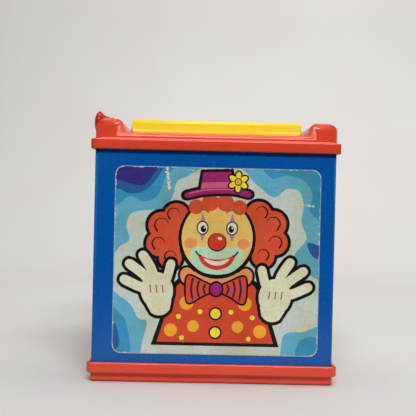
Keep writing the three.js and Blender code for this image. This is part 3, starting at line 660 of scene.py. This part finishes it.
def chips(art, seed):
    """A rubbed edge, and bare paper where the print has flaked: round the edge and in scratches."""
    rng = np.random.default_rng(seed)
    w, h = art.half
    art.loop(rounded_border(art.half, 0.2), 0.42, RUBBED, 1)
    inset, along_edge, per_corner, specks = 0.55, 110, 7, 60
    for _ in range(along_edge):
        along = rng.uniform(-1, 1)
        if rng.random() < 0.5:
            side = rng.choice([-1, 1])
            u, v, turn = side * (w - inset), along * (h - 5), math.pi / 2
        else:
            side = rng.choice([-1, 1], p=[0.45, 0.55])
            u, v, turn = along * (w - 5), side * (h - inset), 0.0
        flake(art, rng, u, v, rng.uniform(0.2, 1.7) ** 1.2, rng.uniform(0.08, 0.36), turn)
    for side_u, side_v in ((-1, 1), (1, 1), (-1, -1), (1, -1)):
        for a in np.linspace(0.1, 1.45, per_corner):
            r = LABEL["corner"] - 0.5
            u = side_u * (w - LABEL["corner"] + r * math.cos(a))
            v = side_v * (h - LABEL["corner"] + r * math.sin(a))
            turn = math.atan2(side_v * math.cos(a), -side_u * math.sin(a))
            flake(art, rng, u, v, rng.uniform(0.3, 1.2), rng.uniform(0.12, 0.4), turn)
    scratches = (((-30, 54.2), (-28.6, 42), 0.7, 42), ((49.5, 34), (56.5, 33.2), 0.55, 18),
                 ((-20, 53.4), (-14, 52.6), 0.4, 8), ((26, -9), (29, -11), 0.3, 5))
    for start, end, size, count in scratches:
        for t in rng.uniform(0, 1, count):
            u = start[0] + (end[0] - start[0]) * t + rng.normal(0, 0.45)
            v = start[1] + (end[1] - start[1]) * t + rng.normal(0, 0.25)
            flake(art, rng, u, v, size * rng.uniform(0.5, 2.0), size * rng.uniform(0.4, 1.0),
                  rng.uniform(0, 3.1))
    for _ in range(specks):
        flake(art, rng, rng.uniform(-w, w), rng.uniform(-h, h), rng.uniform(0.08, 0.3),
              rng.uniform(0.06, 0.16), rng.uniform(0, 3.1))


def label(node, art, quarter_turns, hole=None):
    """A printed label on one wall: a thin slab of paper with the picture's ink layers on its face."""
    border = rounded_border(art.half)
    step = (LABEL_FRONT - LABEL_FACE) / (art.layer + 1)
    verts, faces, inks = [], [], []

    def place(u, v, out):
        verts.append(((LABEL_MIDDLE[0] + u) * MM, -out * MM, (LABEL_MIDDLE[1] + v) * MM))

    count = len(border)
    for out in (LABEL_BACK, LABEL_FACE):
        for u, v in border:
            place(u, v, out)
    faces.append(list(range(count)))
    faces.append([count + i for i in reversed(range(count))])
    inks += [BARE, PAPER_GREY]
    for i in range(count):
        j = (i + 1) % count
        faces.append([i, count + i, count + j, j])
        inks.append(BARE)
    first = len(verts)
    for u, v, layer in art.verts:
        place(u, v, LABEL_FACE + step * layer)
    faces += [[first + i for i in face] for face in art.faces]
    inks += art.inks
    obj = mesh_object(node + "_print", verts, faces, smooth=False)
    mesh = obj.data
    colours = mesh.color_attributes.new("ink", "FLOAT_COLOR", "CORNER")
    values = np.concatenate([np.tile(ink, (face.loop_total, 1)) for ink, face in zip(inks, mesh.polygons)])
    colours.data.foreach_set("color", values.astype(np.float32).ravel())
    keep_on_label(mesh, art.half, hole)
    mesh.transform(Matrix.Rotation(math.radians(90 * quarter_turns), 4, "Z"))
    return finish_piece(obj, "box", [node], [PAPER])


def keep_on_label(mesh, half, hole):
    """Cuts away the ink beyond the rounded corners, and whatever covers the hole, if there is one."""
    edit = bmesh.new()
    edit.from_mesh(mesh)
    middle = Vector((LABEL_MIDDLE[0] * MM, 0, LABEL_MIDDLE[1] * MM))
    cut_corners(edit, middle, half)
    if hole:
        cut_hole(edit, middle, hole)
    edit.to_mesh(mesh)
    edit.free()


def cut_corners(edit, middle, half):
    """Rounds off the four corners with flat cuts."""
    w, h = half
    r = LABEL["corner"]
    for su, sv in ((1, 1), (-1, 1), (-1, -1), (1, -1)):
        for a in np.linspace(0.15, math.pi / 2 - 0.15, 4):
            normal = Vector((su * math.cos(a), 0, sv * math.sin(a)))
            point = middle + Vector((su * (w - r), 0, sv * (h - r))) * MM + normal * (r + 0.02) * MM
            geometry = edit.verts[:] + edit.edges[:] + edit.faces[:]
            bmesh.ops.bisect_plane(edit, geom=geometry, plane_co=point, plane_no=normal, clear_outer=True)


def cut_hole(edit, middle, hole):
    """Cuts a round hole with twenty flat sides."""
    across, up, radius = hole
    centre = middle + Vector((across, 0, up)) * MM
    reach = radius * MM
    for a in np.linspace(0, 2 * math.pi, 20, endpoint=False):
        normal = Vector((math.cos(a), 0, math.sin(a)))
        near = [f for f in edit.faces if near_point(f, centre, reach)]
        edges = {e for f in near for e in f.edges}
        verts = {v for f in near for v in f.verts}
        bmesh.ops.bisect_plane(
            edit, geom=[*verts, *edges, *near], plane_co=centre + normal * reach, plane_no=normal
        )
    inside = [f for f in edit.faces if flat_distance(f.calc_center_median(), centre) < reach]
    bmesh.ops.delete(edit, geom=inside, context="FACES")


def flat_distance(point, centre):
    """Distance from a centre, seen from the front."""
    return math.hypot(point.x - centre.x, point.z - centre.z)


def near_point(face, centre, reach):
    """Whether a face's outer bounds come within reach of a centre, seen from the front."""
    xs = [v.co.x for v in face.verts]
    zs = [v.co.z for v in face.verts]
    in_x = min(xs) - reach < centre.x < max(xs) + reach
    return in_x and min(zs) - reach < centre.z < max(zs) + reach


# ---------------------------------------------------------------- solids from formulas
def skin(name, point, rows, columns):
    """A surface that closes round its columns: point(t, turn) gives mm for t and turn from 0 to 1."""
    verts = [Vector(point(i / rows, j / columns)) * MM for i in range(rows + 1) for j in range(columns)]
    faces = []
    for i in range(rows):
        for j in range(columns):
            k = (j + 1) % columns
            faces.append([i * columns + j, i * columns + k, (i + 1) * columns + k, (i + 1) * columns + j])
    return mesh_object(name, verts, faces)


def turned(name, profile, centre, axis="Z", columns=96, steps=4):
    """A smooth profile of (radius, height) points turned round an axis through centre."""
    curve = spline([np.array(p, float) for p in profile], False, steps)
    cx, cy, cz = centre

    def point(t, turn):
        r, h = curve[round(t * (len(curve) - 1))]
        a, b = max(r, 0.001) * math.cos(2 * math.pi * turn), max(r, 0.001) * math.sin(2 * math.pi * turn)
        return (cx + a, cy + b, cz + h) if axis == "Z" else (cx + h, cy + a, cz + b)

    obj = skin(name, point, len(curve) - 1, columns)
    tidy = bmesh.new()
    tidy.from_mesh(obj.data)
    bmesh.ops.remove_doubles(tidy, verts=tidy.verts, dist=5e-6)
    bmesh.ops.recalc_face_normals(tidy, faces=tidy.faces)
    tidy.to_mesh(obj.data)
    tidy.free()
    return obj


def sweep(path, radius, sides=8):
    """Vertices and faces in mm of a round bar along a path, tapering where radius is a function of t."""
    path = [Vector(p) for p in path]
    last = len(path) - 1
    across = Vector((0.3, 0.5, 0.8))
    verts, faces = [], []
    for i, p in enumerate(path):
        ahead = (path[min(i + 1, last)] - path[max(i - 1, 0)]).normalized()
        across = (across - ahead * across.dot(ahead)).normalized()
        beside = ahead.cross(across)
        r = radius(i / last) if callable(radius) else radius
        for k in range(sides):
            a = 2 * math.pi * k / sides
            verts.append(p + (across * math.cos(a) + beside * math.sin(a)) * r)
    for i in range(last):
        for k in range(sides):
            n = (k + 1) % sides
            faces.append([i * sides + k, i * sides + n, (i + 1) * sides + n, (i + 1) * sides + k])
    faces.append(list(range(sides))[::-1])
    faces.append([last * sides + k for k in range(sides)])
    return verts, faces


def merged(name, parts, smooth=True):
    """One mesh object from several lists of vertices and faces in mm."""
    verts, faces = [], []
    for some, rings in parts:
        faces += [[len(verts) + i for i in ring] for ring in rings]
        verts += [Vector(v) * MM for v in some]
    return mesh_object(name, verts, faces, smooth)


def thicken(obj, thickness):
    """Gives a sheet real thickness, in mm, inwards."""
    solid = obj.modifiers.new("thickness", "SOLIDIFY")
    solid.thickness = thickness * MM
    solid.offset = -1


# ---------------------------------------------------------------- crank and tune movement
def crank_knob():
    """The flared red knob on its rivet."""
    low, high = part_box("crank_knob")
    centre_y, centre_z = ((low[k] + high[k]) / 2 / MM for k in (1, 2))
    tip, neck = low[0] / MM, high[0] / MM
    r = (high[2] - low[2]) / 2 / MM
    profile = [
        (1.6, neck), (4.5, neck), (4.75, neck - 0.3), (5.2, neck - 2), (6.1, neck - 3.7), (7.2, neck - 5.0),
        (8.4, neck - 6.1), (r - 0.1, neck - 6.7), (r, neck - 7.2), (r - 0.25, tip + 3.1), (7.7, tip + 1.9),
        (5.6, tip + 0.8), (2.9, tip + 0.15), (0, tip),
    ]
    knob = turned("knob", profile, (0, centre_y, centre_z), "X")
    # The knob takes the darker red, which carries painted shade.
    finish_piece(knob, "knob", ["crank_knob"], [KNOB_RED_PAINTED_SHADE])


def spring_wire(name, node, body, centre, radius, wire, turns, ends, axis="Z", flat=0.9, steps=40):
    """A coil spring of round wire whose end turns lie flat against each other."""
    low, high = ends
    path = []
    count = round(turns * steps)
    rise = high - low - 2 * flat * wire * 2
    for i in range(count + 1):
        turn = turns * i / count
        dead = min(turn, flat) + max(turn - (turns - flat), 0)
        h = low + dead * wire * 2 + rise * min(max((turn - flat) / (turns - 2 * flat), 0), 1)
        a, b = radius * math.cos(2 * math.pi * turn), radius * math.sin(2 * math.pi * turn)
        cx, cy, cz = centre
        path.append((cx + a, cy + b, h) if axis == "Z" else (h, cy + a, cz + b))
    coil = merged(name, [sweep(path, wire, 12)])
    return finish_piece(coil, body, [node], [STEEL])


def build_movement():
    """The crank, the tune movement and every other hard piece that keeps its CAD shape, and the knob."""
    for node, body, slot, material, edge in (
        ("crank_bush", "box", "white_plastic", WHITE, 0.35),
        ("movement_bracket", "box", "steel", STEEL, 0.2),
        ("tune_comb", "box", "steel", STEEL, 0.08),
        ("latch_pin", "box", "steel", STEEL, 0.3),
        ("hinge_pin", "box", "steel", STEEL, 0.3),
        ("disc_screw", "box", "steel", STEEL, 0.2),
        ("spring_disc", "box", "board", BOARD, 0.3),
        ("lid_catch", "lid", "steel", STEEL, 0.2),
        ("crank_shaft", "crank", "steel", STEEL, 0.3),
        ("crank_arm", "crank", "red_plastic", RED, 0.5),
        ("crank_nut", "crank", "steel", STEEL, 0.3),
        ("crank_pinion", "crank", "white_plastic", WHITE, 0.12),
        ("shaft_clip", "crank", "steel", STEEL, 0.15),
        ("knob_rivet", "crank", "steel", STEEL, 0.25),
        ("drum_axle", "drum", "steel", STEEL, 0.3),
        ("melody_drum", "drum", "brass", BRASS, 0.1),
        ("drum_gear", "drum", "white_plastic", WHITE, 0.12),
        ("trip_cam", "drum", "white_plastic", WHITE, 0.3),
        ("latch", "latch", "steel", STEEL, 0.2),
        ("neck_plate", "puppet", "white_plastic", WHITE, 0.4),
        ("neck_screw", "puppet", "steel", STEEL, 0.2),
    ):
        moulded(node, body, material, edge)
    for group, body, slot, material in (
        ([f"base_screw_{i}" for i in range(1, 5)], "box", "steel", STEEL),
        (["bracket_screw_1", "bracket_screw_2"], "box", "steel", STEEL),
        (["comb_screw_1", "comb_screw_2"], "box", "brass", BRASS),
        (["catch_rivet_1", "catch_rivet_2"], "lid", "steel", STEEL),
    ):
        for node in group:
            moulded(node, body, material, 0.15)
    crank_knob()


def latch_spring():
    """The small torsion spring on the latch pin, with its two legs."""
    low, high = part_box("latch_spring")
    pin_low, pin_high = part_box("latch_pin")
    y, z = ((pin_low[k] + pin_high[k]) / 2 / MM for k in (1, 2))
    first, last = low[0] / MM + 0.5, high[0] / MM - 0.5
    turns, r, wire = 5, 2.6, 0.4
    steps = 24
    path = [(first, y - r, z + 4.0), (first, y - r, z + 2.0)]
    for i in range(turns * steps + 1):
        a = math.pi + 2 * math.pi * i / steps
        x = first + (last - first) * i / (turns * steps)
        path.append((x, y + r * math.cos(a), z + r * math.sin(a)))
    path += [(last, y - r, z - 2.0), (last, y - r, z - 3.6)]
    coil = merged("torsion_spring", [sweep(path, wire, 8)])
    finish_piece(coil, "box", ["latch_spring"], [STEEL])


# ---------------------------------------------------------------- the clown on its spring
PUPPET_Y = -6.0  # the puppet's axis, mm
HEAD = {"z": 101.0, "half": (29.0, 28.0, 31.0), "chin": 70.3}
SPRING = {"r": 15.5, "wire": 1.2, "bottom": 9.0, "top": 65.6, "turns": 7}
PLEATS = 18


def main_spring():
    """The long spring from the disc to the neck."""
    coil = spring_wire("clown_spring", "main_spring", None, (0, PUPPET_Y, 0), SPRING["r"], SPRING["wire"],
                       SPRING["turns"], (SPRING["bottom"], SPRING["top"]))
    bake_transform(coil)


def costume():
    """A cotton tube over the spring, shaped with the folds of a bellows."""
    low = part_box("costume")[0][2] / MM
    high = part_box("neck_plate")[0][2] / MM - 0.1
    height, folds, shoulder = high - low, 6, 0.8

    def point(t, turn):
        a = 2 * math.pi * turn
        wander = noise.noise(Vector((1.4 * math.cos(a), 1.4 * math.sin(a), 3.1 * t))) * 0.9
        fold = math.cos(2 * math.pi * folds * t + wander * 1.6)
        neck = max(0.0, (t - shoulder) / (1 - shoulder))
        body = 28.6 + 3.3 * fold * (1 - neck) * min(1.0, 6 * t + 0.1)
        body += 0.7 * math.cos(PLEATS * a + 2.2 * wander) * (0.4 + neck)
        body += 0.5 * noise.noise(Vector((3.2 * math.cos(a), 3.2 * math.sin(a), 9.0 * t)))
        r = body * (1 - neck ** 1.6) + (17.3 + 0.1 * math.cos(PLEATS * 2 * a)) * neck ** 1.6
        return r * math.cos(a), PUPPET_Y + r * math.sin(a), low + 0.3 + (height - 0.6) * t

    cloth_tube = skin("costume_cloth", point, 150, 240)
    finish_piece(cloth_tube, None, ["costume"], [COTTON])
    thicken(cloth_tube, 0.45)
    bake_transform(cloth_tube)


def sleeve(side, name, node):
    """A cotton sleeve with soft creases, gathered at the glove."""
    foot = Vector((side * 24.2, -33.5, 54.5))
    wrist = Vector((side * 19.4, -46.6, 66.6))
    ahead = (wrist - foot).normalized()
    across = ahead.cross(Vector((1, 0, 0))).normalized()
    beside = ahead.cross(across)

    def point(t, turn):
        a = 2 * math.pi * turn
        crease = 0.45 * math.sin(15 * t + 2 * math.sin(a)) + 0.35 * math.cos(7 * a + 5 * t) * t
        r = 7.6 + 1.2 * math.sin(math.pi * min(t * 1.3, 1)) - 3.4 * max(0, t - 0.55) / 0.45 + crease
        return foot.lerp(wrist, t) + across * (r * math.cos(a)) + beside * (r * math.sin(a))

    tube = skin(name, point, 40, 72)
    finish_piece(tube, "puppet", [node], [COTTON])
    thicken(tube, 0.45)


def ruff():
    """The pleated collar under the chin."""
    inner, breadth = 17.8, 14.6
    low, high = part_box("puppet_collar")
    middle = (low[2] + high[2]) / 2 / MM
    reach = (high[2] - low[2]) / 2 / MM - 0.35

    def point(t, turn):
        a = 2 * math.pi * turn
        r = inner + breadth * t + 0.5 * math.sin(3 * a)
        wave = math.sin(PLEATS * a + 0.5 * math.sin(2 * a)) * reach * min(1.0, 0.25 + t)
        return r * math.cos(a), PUPPET_Y + r * math.sin(a), middle + wave

    collar = skin("ruff_cloth", point, 24, 540)
    finish_piece(collar, "puppet", ["puppet_collar"], [RUFF])
    thicken(collar, 0.5)


def on_face(x, z, lift):
    """The point of the head's front at x and z, lifted off its surface, in mm."""
    a, b, c = HEAD["half"]
    inside = max(1 - (x / a) ** 2 - ((z - HEAD["z"]) / c) ** 2, 0.0)
    y = -b * math.sqrt(inside)
    away = Vector((x / a ** 2, y / b ** 2, (z - HEAD["z"]) / c ** 2)).normalized()
    return Vector((x, y + PUPPET_Y, z)) + away * lift


def painted(name, points, lift, material):
    """A thin shape of paint on the clown's face, from an outline of x and z in mm."""
    curve = [np.array(p, float) for p in spline(points, True, 6)]
    centre = sum(curve) / len(curve)
    rings = 7

    def point(t, turn):
        x, z = centre + (curve[round(turn * len(curve)) % len(curve)] - centre) * max(t, 0.001)
        return on_face(x, z, lift if t < 0.999 else -0.05)

    patch = skin(name, point, rings, len(curve))
    return finish_piece(patch, "puppet", [], [material])


def clown_head():
    """The vinyl head: an egg cut flat under the chin."""
    a, b, c = HEAD["half"]
    flat = (HEAD["chin"] - HEAD["z"]) / c

    def point(t, turn):
        up = math.cos(math.pi * (1 - t))
        z = max(up, flat)
        wide = math.sqrt(max(1 - z * z, 0)) if up > flat else math.sqrt(1 - flat * flat) * t / 0.06
        wide = min(wide, math.sqrt(max(1 - z * z, 0)))
        angle = 2 * math.pi * turn
        return a * wide * math.cos(angle), PUPPET_Y + b * wide * math.sin(angle), HEAD["z"] + c * z

    head = skin("clown_head", point, 96, 128)
    finish_piece(head, "puppet", ["puppet_head"], [SKIN])


def face_paint():
    """The mouth, eyes, brows, tears and cheeks painted on the head."""
    mouth = [(-19, 92), (-12, 91.5), (-6, 89.5), (0, 88.8), (6, 89.5), (12, 91.5), (19, 92), (17.5, 84),
             (11, 77.5), (0, 75), (-11, 77.5), (-17.5, 84)]
    painted("paint_mouth_white", mouth, 0.12, MOUTH)
    smile = [(-12.5, 87.5), (-6, 84.9), (0, 84.2), (6, 84.9), (12.5, 87.5), (9.5, 81.4), (4.5, 78.6),
             (0, 78.0), (-4.5, 78.6), (-9.5, 81.4)]
    painted("paint_lips", smile, 0.2, NOSE)
    inner = [(-9.5, 85.2), (-4, 83.2), (0, 82.9), (4, 83.2), (9.5, 85.2), (6.5, 81.9), (0, 80.6),
             (-6.5, 81.9)]
    painted("paint_mouth_dark", inner, 0.27, EYE)
    eye = [(-10.5, 102.6), (-14.1, 104.6), (-15.0, 108.2), (-12.8, 112.6), (-9.4, 113.2), (-7.0, 110.2),
           (-7.0, 105.2)]
    pupil = [(-10.2, 103.9), (-12.4, 105.2), (-12.6, 107.8), (-10.6, 109.4), (-8.7, 107.8), (-8.7, 105.2)]
    glint = [(-11.2, 107.2), (-11.9, 107.9), (-11.2, 108.6), (-10.5, 107.9)]
    brow = [(-16.4, 115.2), (-12.4, 118.0), (-7.4, 117.6), (-7.2, 116.4), (-12, 116.6), (-15.4, 114.2)]
    tear = [(-10.8, 101.9), (-12.3, 99.6), (-10.8, 95.6), (-9.4, 99.6)]
    cheek = [(-21.8, 96.4), (-18.6, 99.0), (-15.4, 97.6), (-15.6, 94.2), (-18.4, 92.6), (-21.2, 93.6)]
    for side, flip in (("left", list), ("right", mirrored)):
        painted(f"paint_eye_{side}", flip(eye), 0.12, MOUTH)
        painted(f"paint_pupil_{side}", flip(pupil), 0.2, EYE)
        painted(f"paint_glint_{side}", flip(glint), 0.27, MOUTH)
        painted(f"paint_brow_{side}", flip(brow), 0.14, EYE)
        painted(f"paint_tear_{side}", flip(tear), 0.12, PURPLE)
        painted(f"paint_cheek_{side}", flip(cheek), 0.1, BLUSH)


def clown_nose():
    """The round red nose with a moulded seam."""
    low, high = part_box("puppet_nose")
    centre = (low + high) / 2 / MM

    def point(t, turn):
        up, angle = math.pi * (t - 0.5), 2 * math.pi * turn
        r = math.cos(up) * (1 + 0.012 * math.exp(-((math.cos(angle) / 0.05) ** 2)))
        return (centre[0] + 6.4 * r * math.cos(angle), centre[1] + 6.0 * r * math.sin(angle) - 0.2,
                centre[2] + 6.4 * math.sin(up))

    nose = skin("clown_nose", point, 40, 96)
    finish_piece(nose, "puppet", ["puppet_nose"], [NOSE])


def felt_hat():
    """The felt hat: a turned-up brim, a ribbon and a dented crown."""
    brim = [(14.5, 120.4), (18.6, 121.2), (21.2, 122.8), (21.5, 124.4), (20.9, 125.8), (19.6, 125.2),
            (17.4, 125.6)]
    crown = [(16.4, 127), (15.9, 131), (15.1, 136), (14.4, 140.6), (13.0, 144.2), (10.4, 145.4),
             (6, 145.0), (0, 144.2)]
    hat = turned("clown_hat", brim + crown, (0, PUPPET_Y, 0), "Z", 120, 5)
    for v in hat.data.vertices:
        z = v.co.z / MM
        squash = 1 + 0.018 * noise.noise(v.co * 70) + 0.012 * noise.noise(v.co * 210)
        v.co.x *= squash
        v.co.y = (v.co.y - PUPPET_Y * MM) * squash + PUPPET_Y * MM
        if z > 143.5:
            v.co.z += 0.35 * MM * noise.noise(v.co * 90)
    finish_piece(hat, "puppet", ["puppet_hat"], [FELT])
    band = [(16.2, 127.2), (16.75, 127.5), (16.7, 129), (16.35, 131.6), (15.9, 131.9)]
    ribbon = turned("hat_ribbon", band, (0, PUPPET_Y, 0), "Z", 120, 4)
    finish_piece(ribbon, "puppet", [], [FELT_PINK])


def yarn_tuft(side, node, seed):
    """One side's hair: loops of curled yarn, packed in an egg shape."""
    low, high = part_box(node)
    centre = Vector((side * 24.0, (low[1] + high[1]) / 2 / MM, (low[2] + high[2]) / 2 / MM))
    half = Vector((8.2, 10.8, 11.8))
    rng = np.random.default_rng(seed)
    parts = []
    count = 150
    for i in range(count):
        z = 1 - 2 * (i + 0.5) / count
        turn = i * math.pi * (3 - math.sqrt(5))
        out = Vector((math.sqrt(1 - z * z) * math.cos(turn), math.sqrt(1 - z * z) * math.sin(turn), z))
        spot = centre + Vector([h * o for h, o in zip(half, out)]) * 0.8
        tilt = Vector(rng.normal(0, 1, 3))
        across = out.cross(tilt).normalized()
        beside = out.cross(across).normalized()
        r = rng.uniform(1.3, 2.1)
        loop = []
        for k in range(25):
            a = 2 * math.pi * 1.35 * k / 24
            curl = across * (r * math.cos(a)) + out * (r * math.sin(a))
            loop.append(spot + curl + beside * (0.12 * (k - 12)))
        parts.append(sweep(loop, 0.62, 6))
    tuft = merged("hair_" + ("right" if side > 0 else "left"), parts)
    finish_piece(tuft, "puppet", [node], [YARN])


def capsule(start, end, r, steps=10):
    """Vertices and faces in mm of a bar with round ends."""
    a, b = Vector(start), Vector(end)
    ahead = (b - a).normalized()
    turns = [math.pi / 2 * k / steps for k in range(steps + 1)]
    path = [a - ahead * r * math.cos(q) for q in turns[:-1]] + [b + ahead * r * math.sin(q) for q in turns]
    sizes = [r * math.sin(q) for q in turns[:-1]] + [r * math.cos(q) for q in turns]
    return sweep(path, lambda t: max(sizes[round(t * (len(sizes) - 1))], 0.05), 20)


def gloved_hand(side, node):
    """A plump glove with three fingers, a thumb and a rolled cuff, remeshed into one skin."""
    palm = Vector((side * 19, -47, 73))
    flatness = 0.86  # depth of the palm and fingers against their width
    parts = [((0, 0, -1.2), (0, 0, 1.4), 5.3), ((-4.1, 0, 1.5), (-5.6, 0, 6.2), 1.95),
             ((0, 0, 2), (0, 0, 7.6), 2.0), ((4.1, 0, 1.5), (5.2, 0, 6.4), 1.95),
             ((-side * 3.6, -0.4, -1), (-side * 7.2, -0.6, 4.0), 1.9)]
    capsules = []
    for start, end, r in parts:
        verts, faces = capsule(start, end, r)
        capsules.append(([Vector((v[0], v[1] * flatness, v[2])) + palm for v in verts], faces))
    round_cuff = [2 * math.pi * k / 32 for k in range(33)]
    cuff = [palm + Vector((4.6 * math.cos(a), 3.9 * math.sin(a), -6.0)) for a in round_cuff]
    capsules.append(sweep(cuff, 1.25, 10))
    hand = merged("glove_" + ("right" if side > 0 else "left"), capsules)
    remesh = hand.modifiers.new("one_skin", "REMESH")
    remesh.mode = "VOXEL"
    remesh.voxel_size = 0.38 * MM
    remesh.use_smooth_shade = True
    soft = hand.modifiers.new("soft", "SMOOTH")
    soft.factor = 0.6
    soft.iterations = 6
    finish_piece(hand, "puppet", [node], [GLOVE])


def build_clown():
    """The clown with its spring, costume, head, hat, hair and hands."""
    main_spring()
    costume()
    sleeve(1, "sleeve_right", "puppet_sleeve_right")
    sleeve(-1, "sleeve_left", "puppet_sleeve_left")
    ruff()
    clown_head()
    face_paint()
    clown_nose()
    felt_hat()
    yarn_tuft(1, "puppet_hair_right", 21)
    yarn_tuft(-1, "puppet_hair_left", 22)
    gloved_hand(1, "puppet_hand_right")
    gloved_hand(-1, "puppet_hand_left")


# ---------------------------------------------------------------- stage, light and camera
def stage():
    """A pale sheet that curves up behind the object."""
    width, front, back, bend, height = 2.4, -0.24, 0.9, 0.5, 2.2
    profile = [(front, 0.0), (back - bend, 0.0)]
    for k in range(1, 13):
        a = math.pi / 2 * k / 12
        profile.append((back - bend + bend * math.sin(a), bend - bend * math.cos(a)))
    profile.append((back, height))
    verts = [(x, y, z) for x in (-width, width) for y, z in profile]
    n = len(profile)
    faces = [[i, n + i, n + i + 1, i + 1] for i in range(n - 1)]
    sheet = mesh_object("backdrop", verts, faces)
    sheet.data.materials.append(backdrop_paper())


def area_light(name, place, target, size, power, mirrored=True, spread=180):
    """A soft rectangular light aimed at a point; mirrored says whether it shows in glossy surfaces."""
    lamp = bpy.data.lights.new(name, "AREA")
    lamp.shape = "RECTANGLE"
    lamp.size, lamp.size_y = size
    lamp.energy = power
    lamp.spread = math.radians(spread)
    obj = bpy.data.objects.new(name, lamp)
    obj.location = place
    obj.rotation_euler = (Vector(target) - Vector(place)).to_track_quat("-Z", "Y").to_euler()
    bpy.context.collection.objects.link(obj)
    obj.visible_glossy = mirrored
    return obj


def studio():
    """A large soft light above and in front, a wash on the backdrop, and a dark room all round."""
    area_light("key", (0.1, -1.05, 1.22), (0, 0, 0.07), (0.95, 0.34), 22.5)
    area_light("back_wash", (0.3, 0.05, 1.5), (0.2, 0.75, 0.42), (1.6, 0.6), 9.2, spread=120)
    area_light("side_left", (-1.2, -0.35, 0.6), (0, 0, 0.07), (0.6, 0.9), 1.3, False)
    area_light("side_right", (1.2, -0.35, 0.6), (0, 0, 0.07), (0.6, 0.9), 1.5, False)
    world = bpy.data.worlds.new("surround")
    world.use_nodes = True
    world.node_tree.nodes["Background"].inputs[0].default_value = (0.93, 0.95, 1.0, 1)
    world.node_tree.nodes["Background"].inputs[1].default_value = 0.02
    bpy.context.scene.world = world


def camera():
    """Close in front of the box, level with its upper half, leaning a little to one side."""
    data = bpy.data.cameras.new("camera")
    data.lens, data.sensor_width = 53.87, 36.0
    data.clip_start, data.clip_end = 0.02, 20
    obj = bpy.data.objects.new("camera", data)
    yaw, pitch, roll = math.radians(0.61), math.radians(-0.44), math.radians(1.313)
    turn = (Matrix.Rotation(-yaw, 4, "Z") @ Matrix.Rotation(math.pi / 2 + pitch, 4, "X")
            @ Matrix.Rotation(roll, 4, "Z"))
    obj.matrix_world = Matrix.Translation((-0.008, -0.433, 0.1053)) @ turn
    bpy.context.collection.objects.link(obj)
    bpy.context.scene.camera = obj


def build_box():
    """The four mouldings of the box and lid, and a label on each wall."""
    moulded("base_tray", "box", RED, 0.9)
    moulded("body_shell", "box", BLUE, 0.4)
    moulded("top_frame", "box", RED, 0.8)
    moulded("lid", "lid", YELLOW, 0.7)
    front = clown_picture()
    chips(front, 7)
    label("sticker_front", front, 0)
    walls = (
        ("sticker_right", 1, 8, None),
        ("sticker_back", 2, 9, None),
        ("sticker_left", -1, 10, CRANK_HOLE),
    )
    for node, turns, seed, hole in walls:
        side = balloon_picture()
        chips(side, seed)
        label(node, side, turns, hole)


build_box()
build_movement()
latch_spring()
build_clown()
stage()
studio()
camera()
bpy.context.scene.view_settings.view_transform = "Standard"
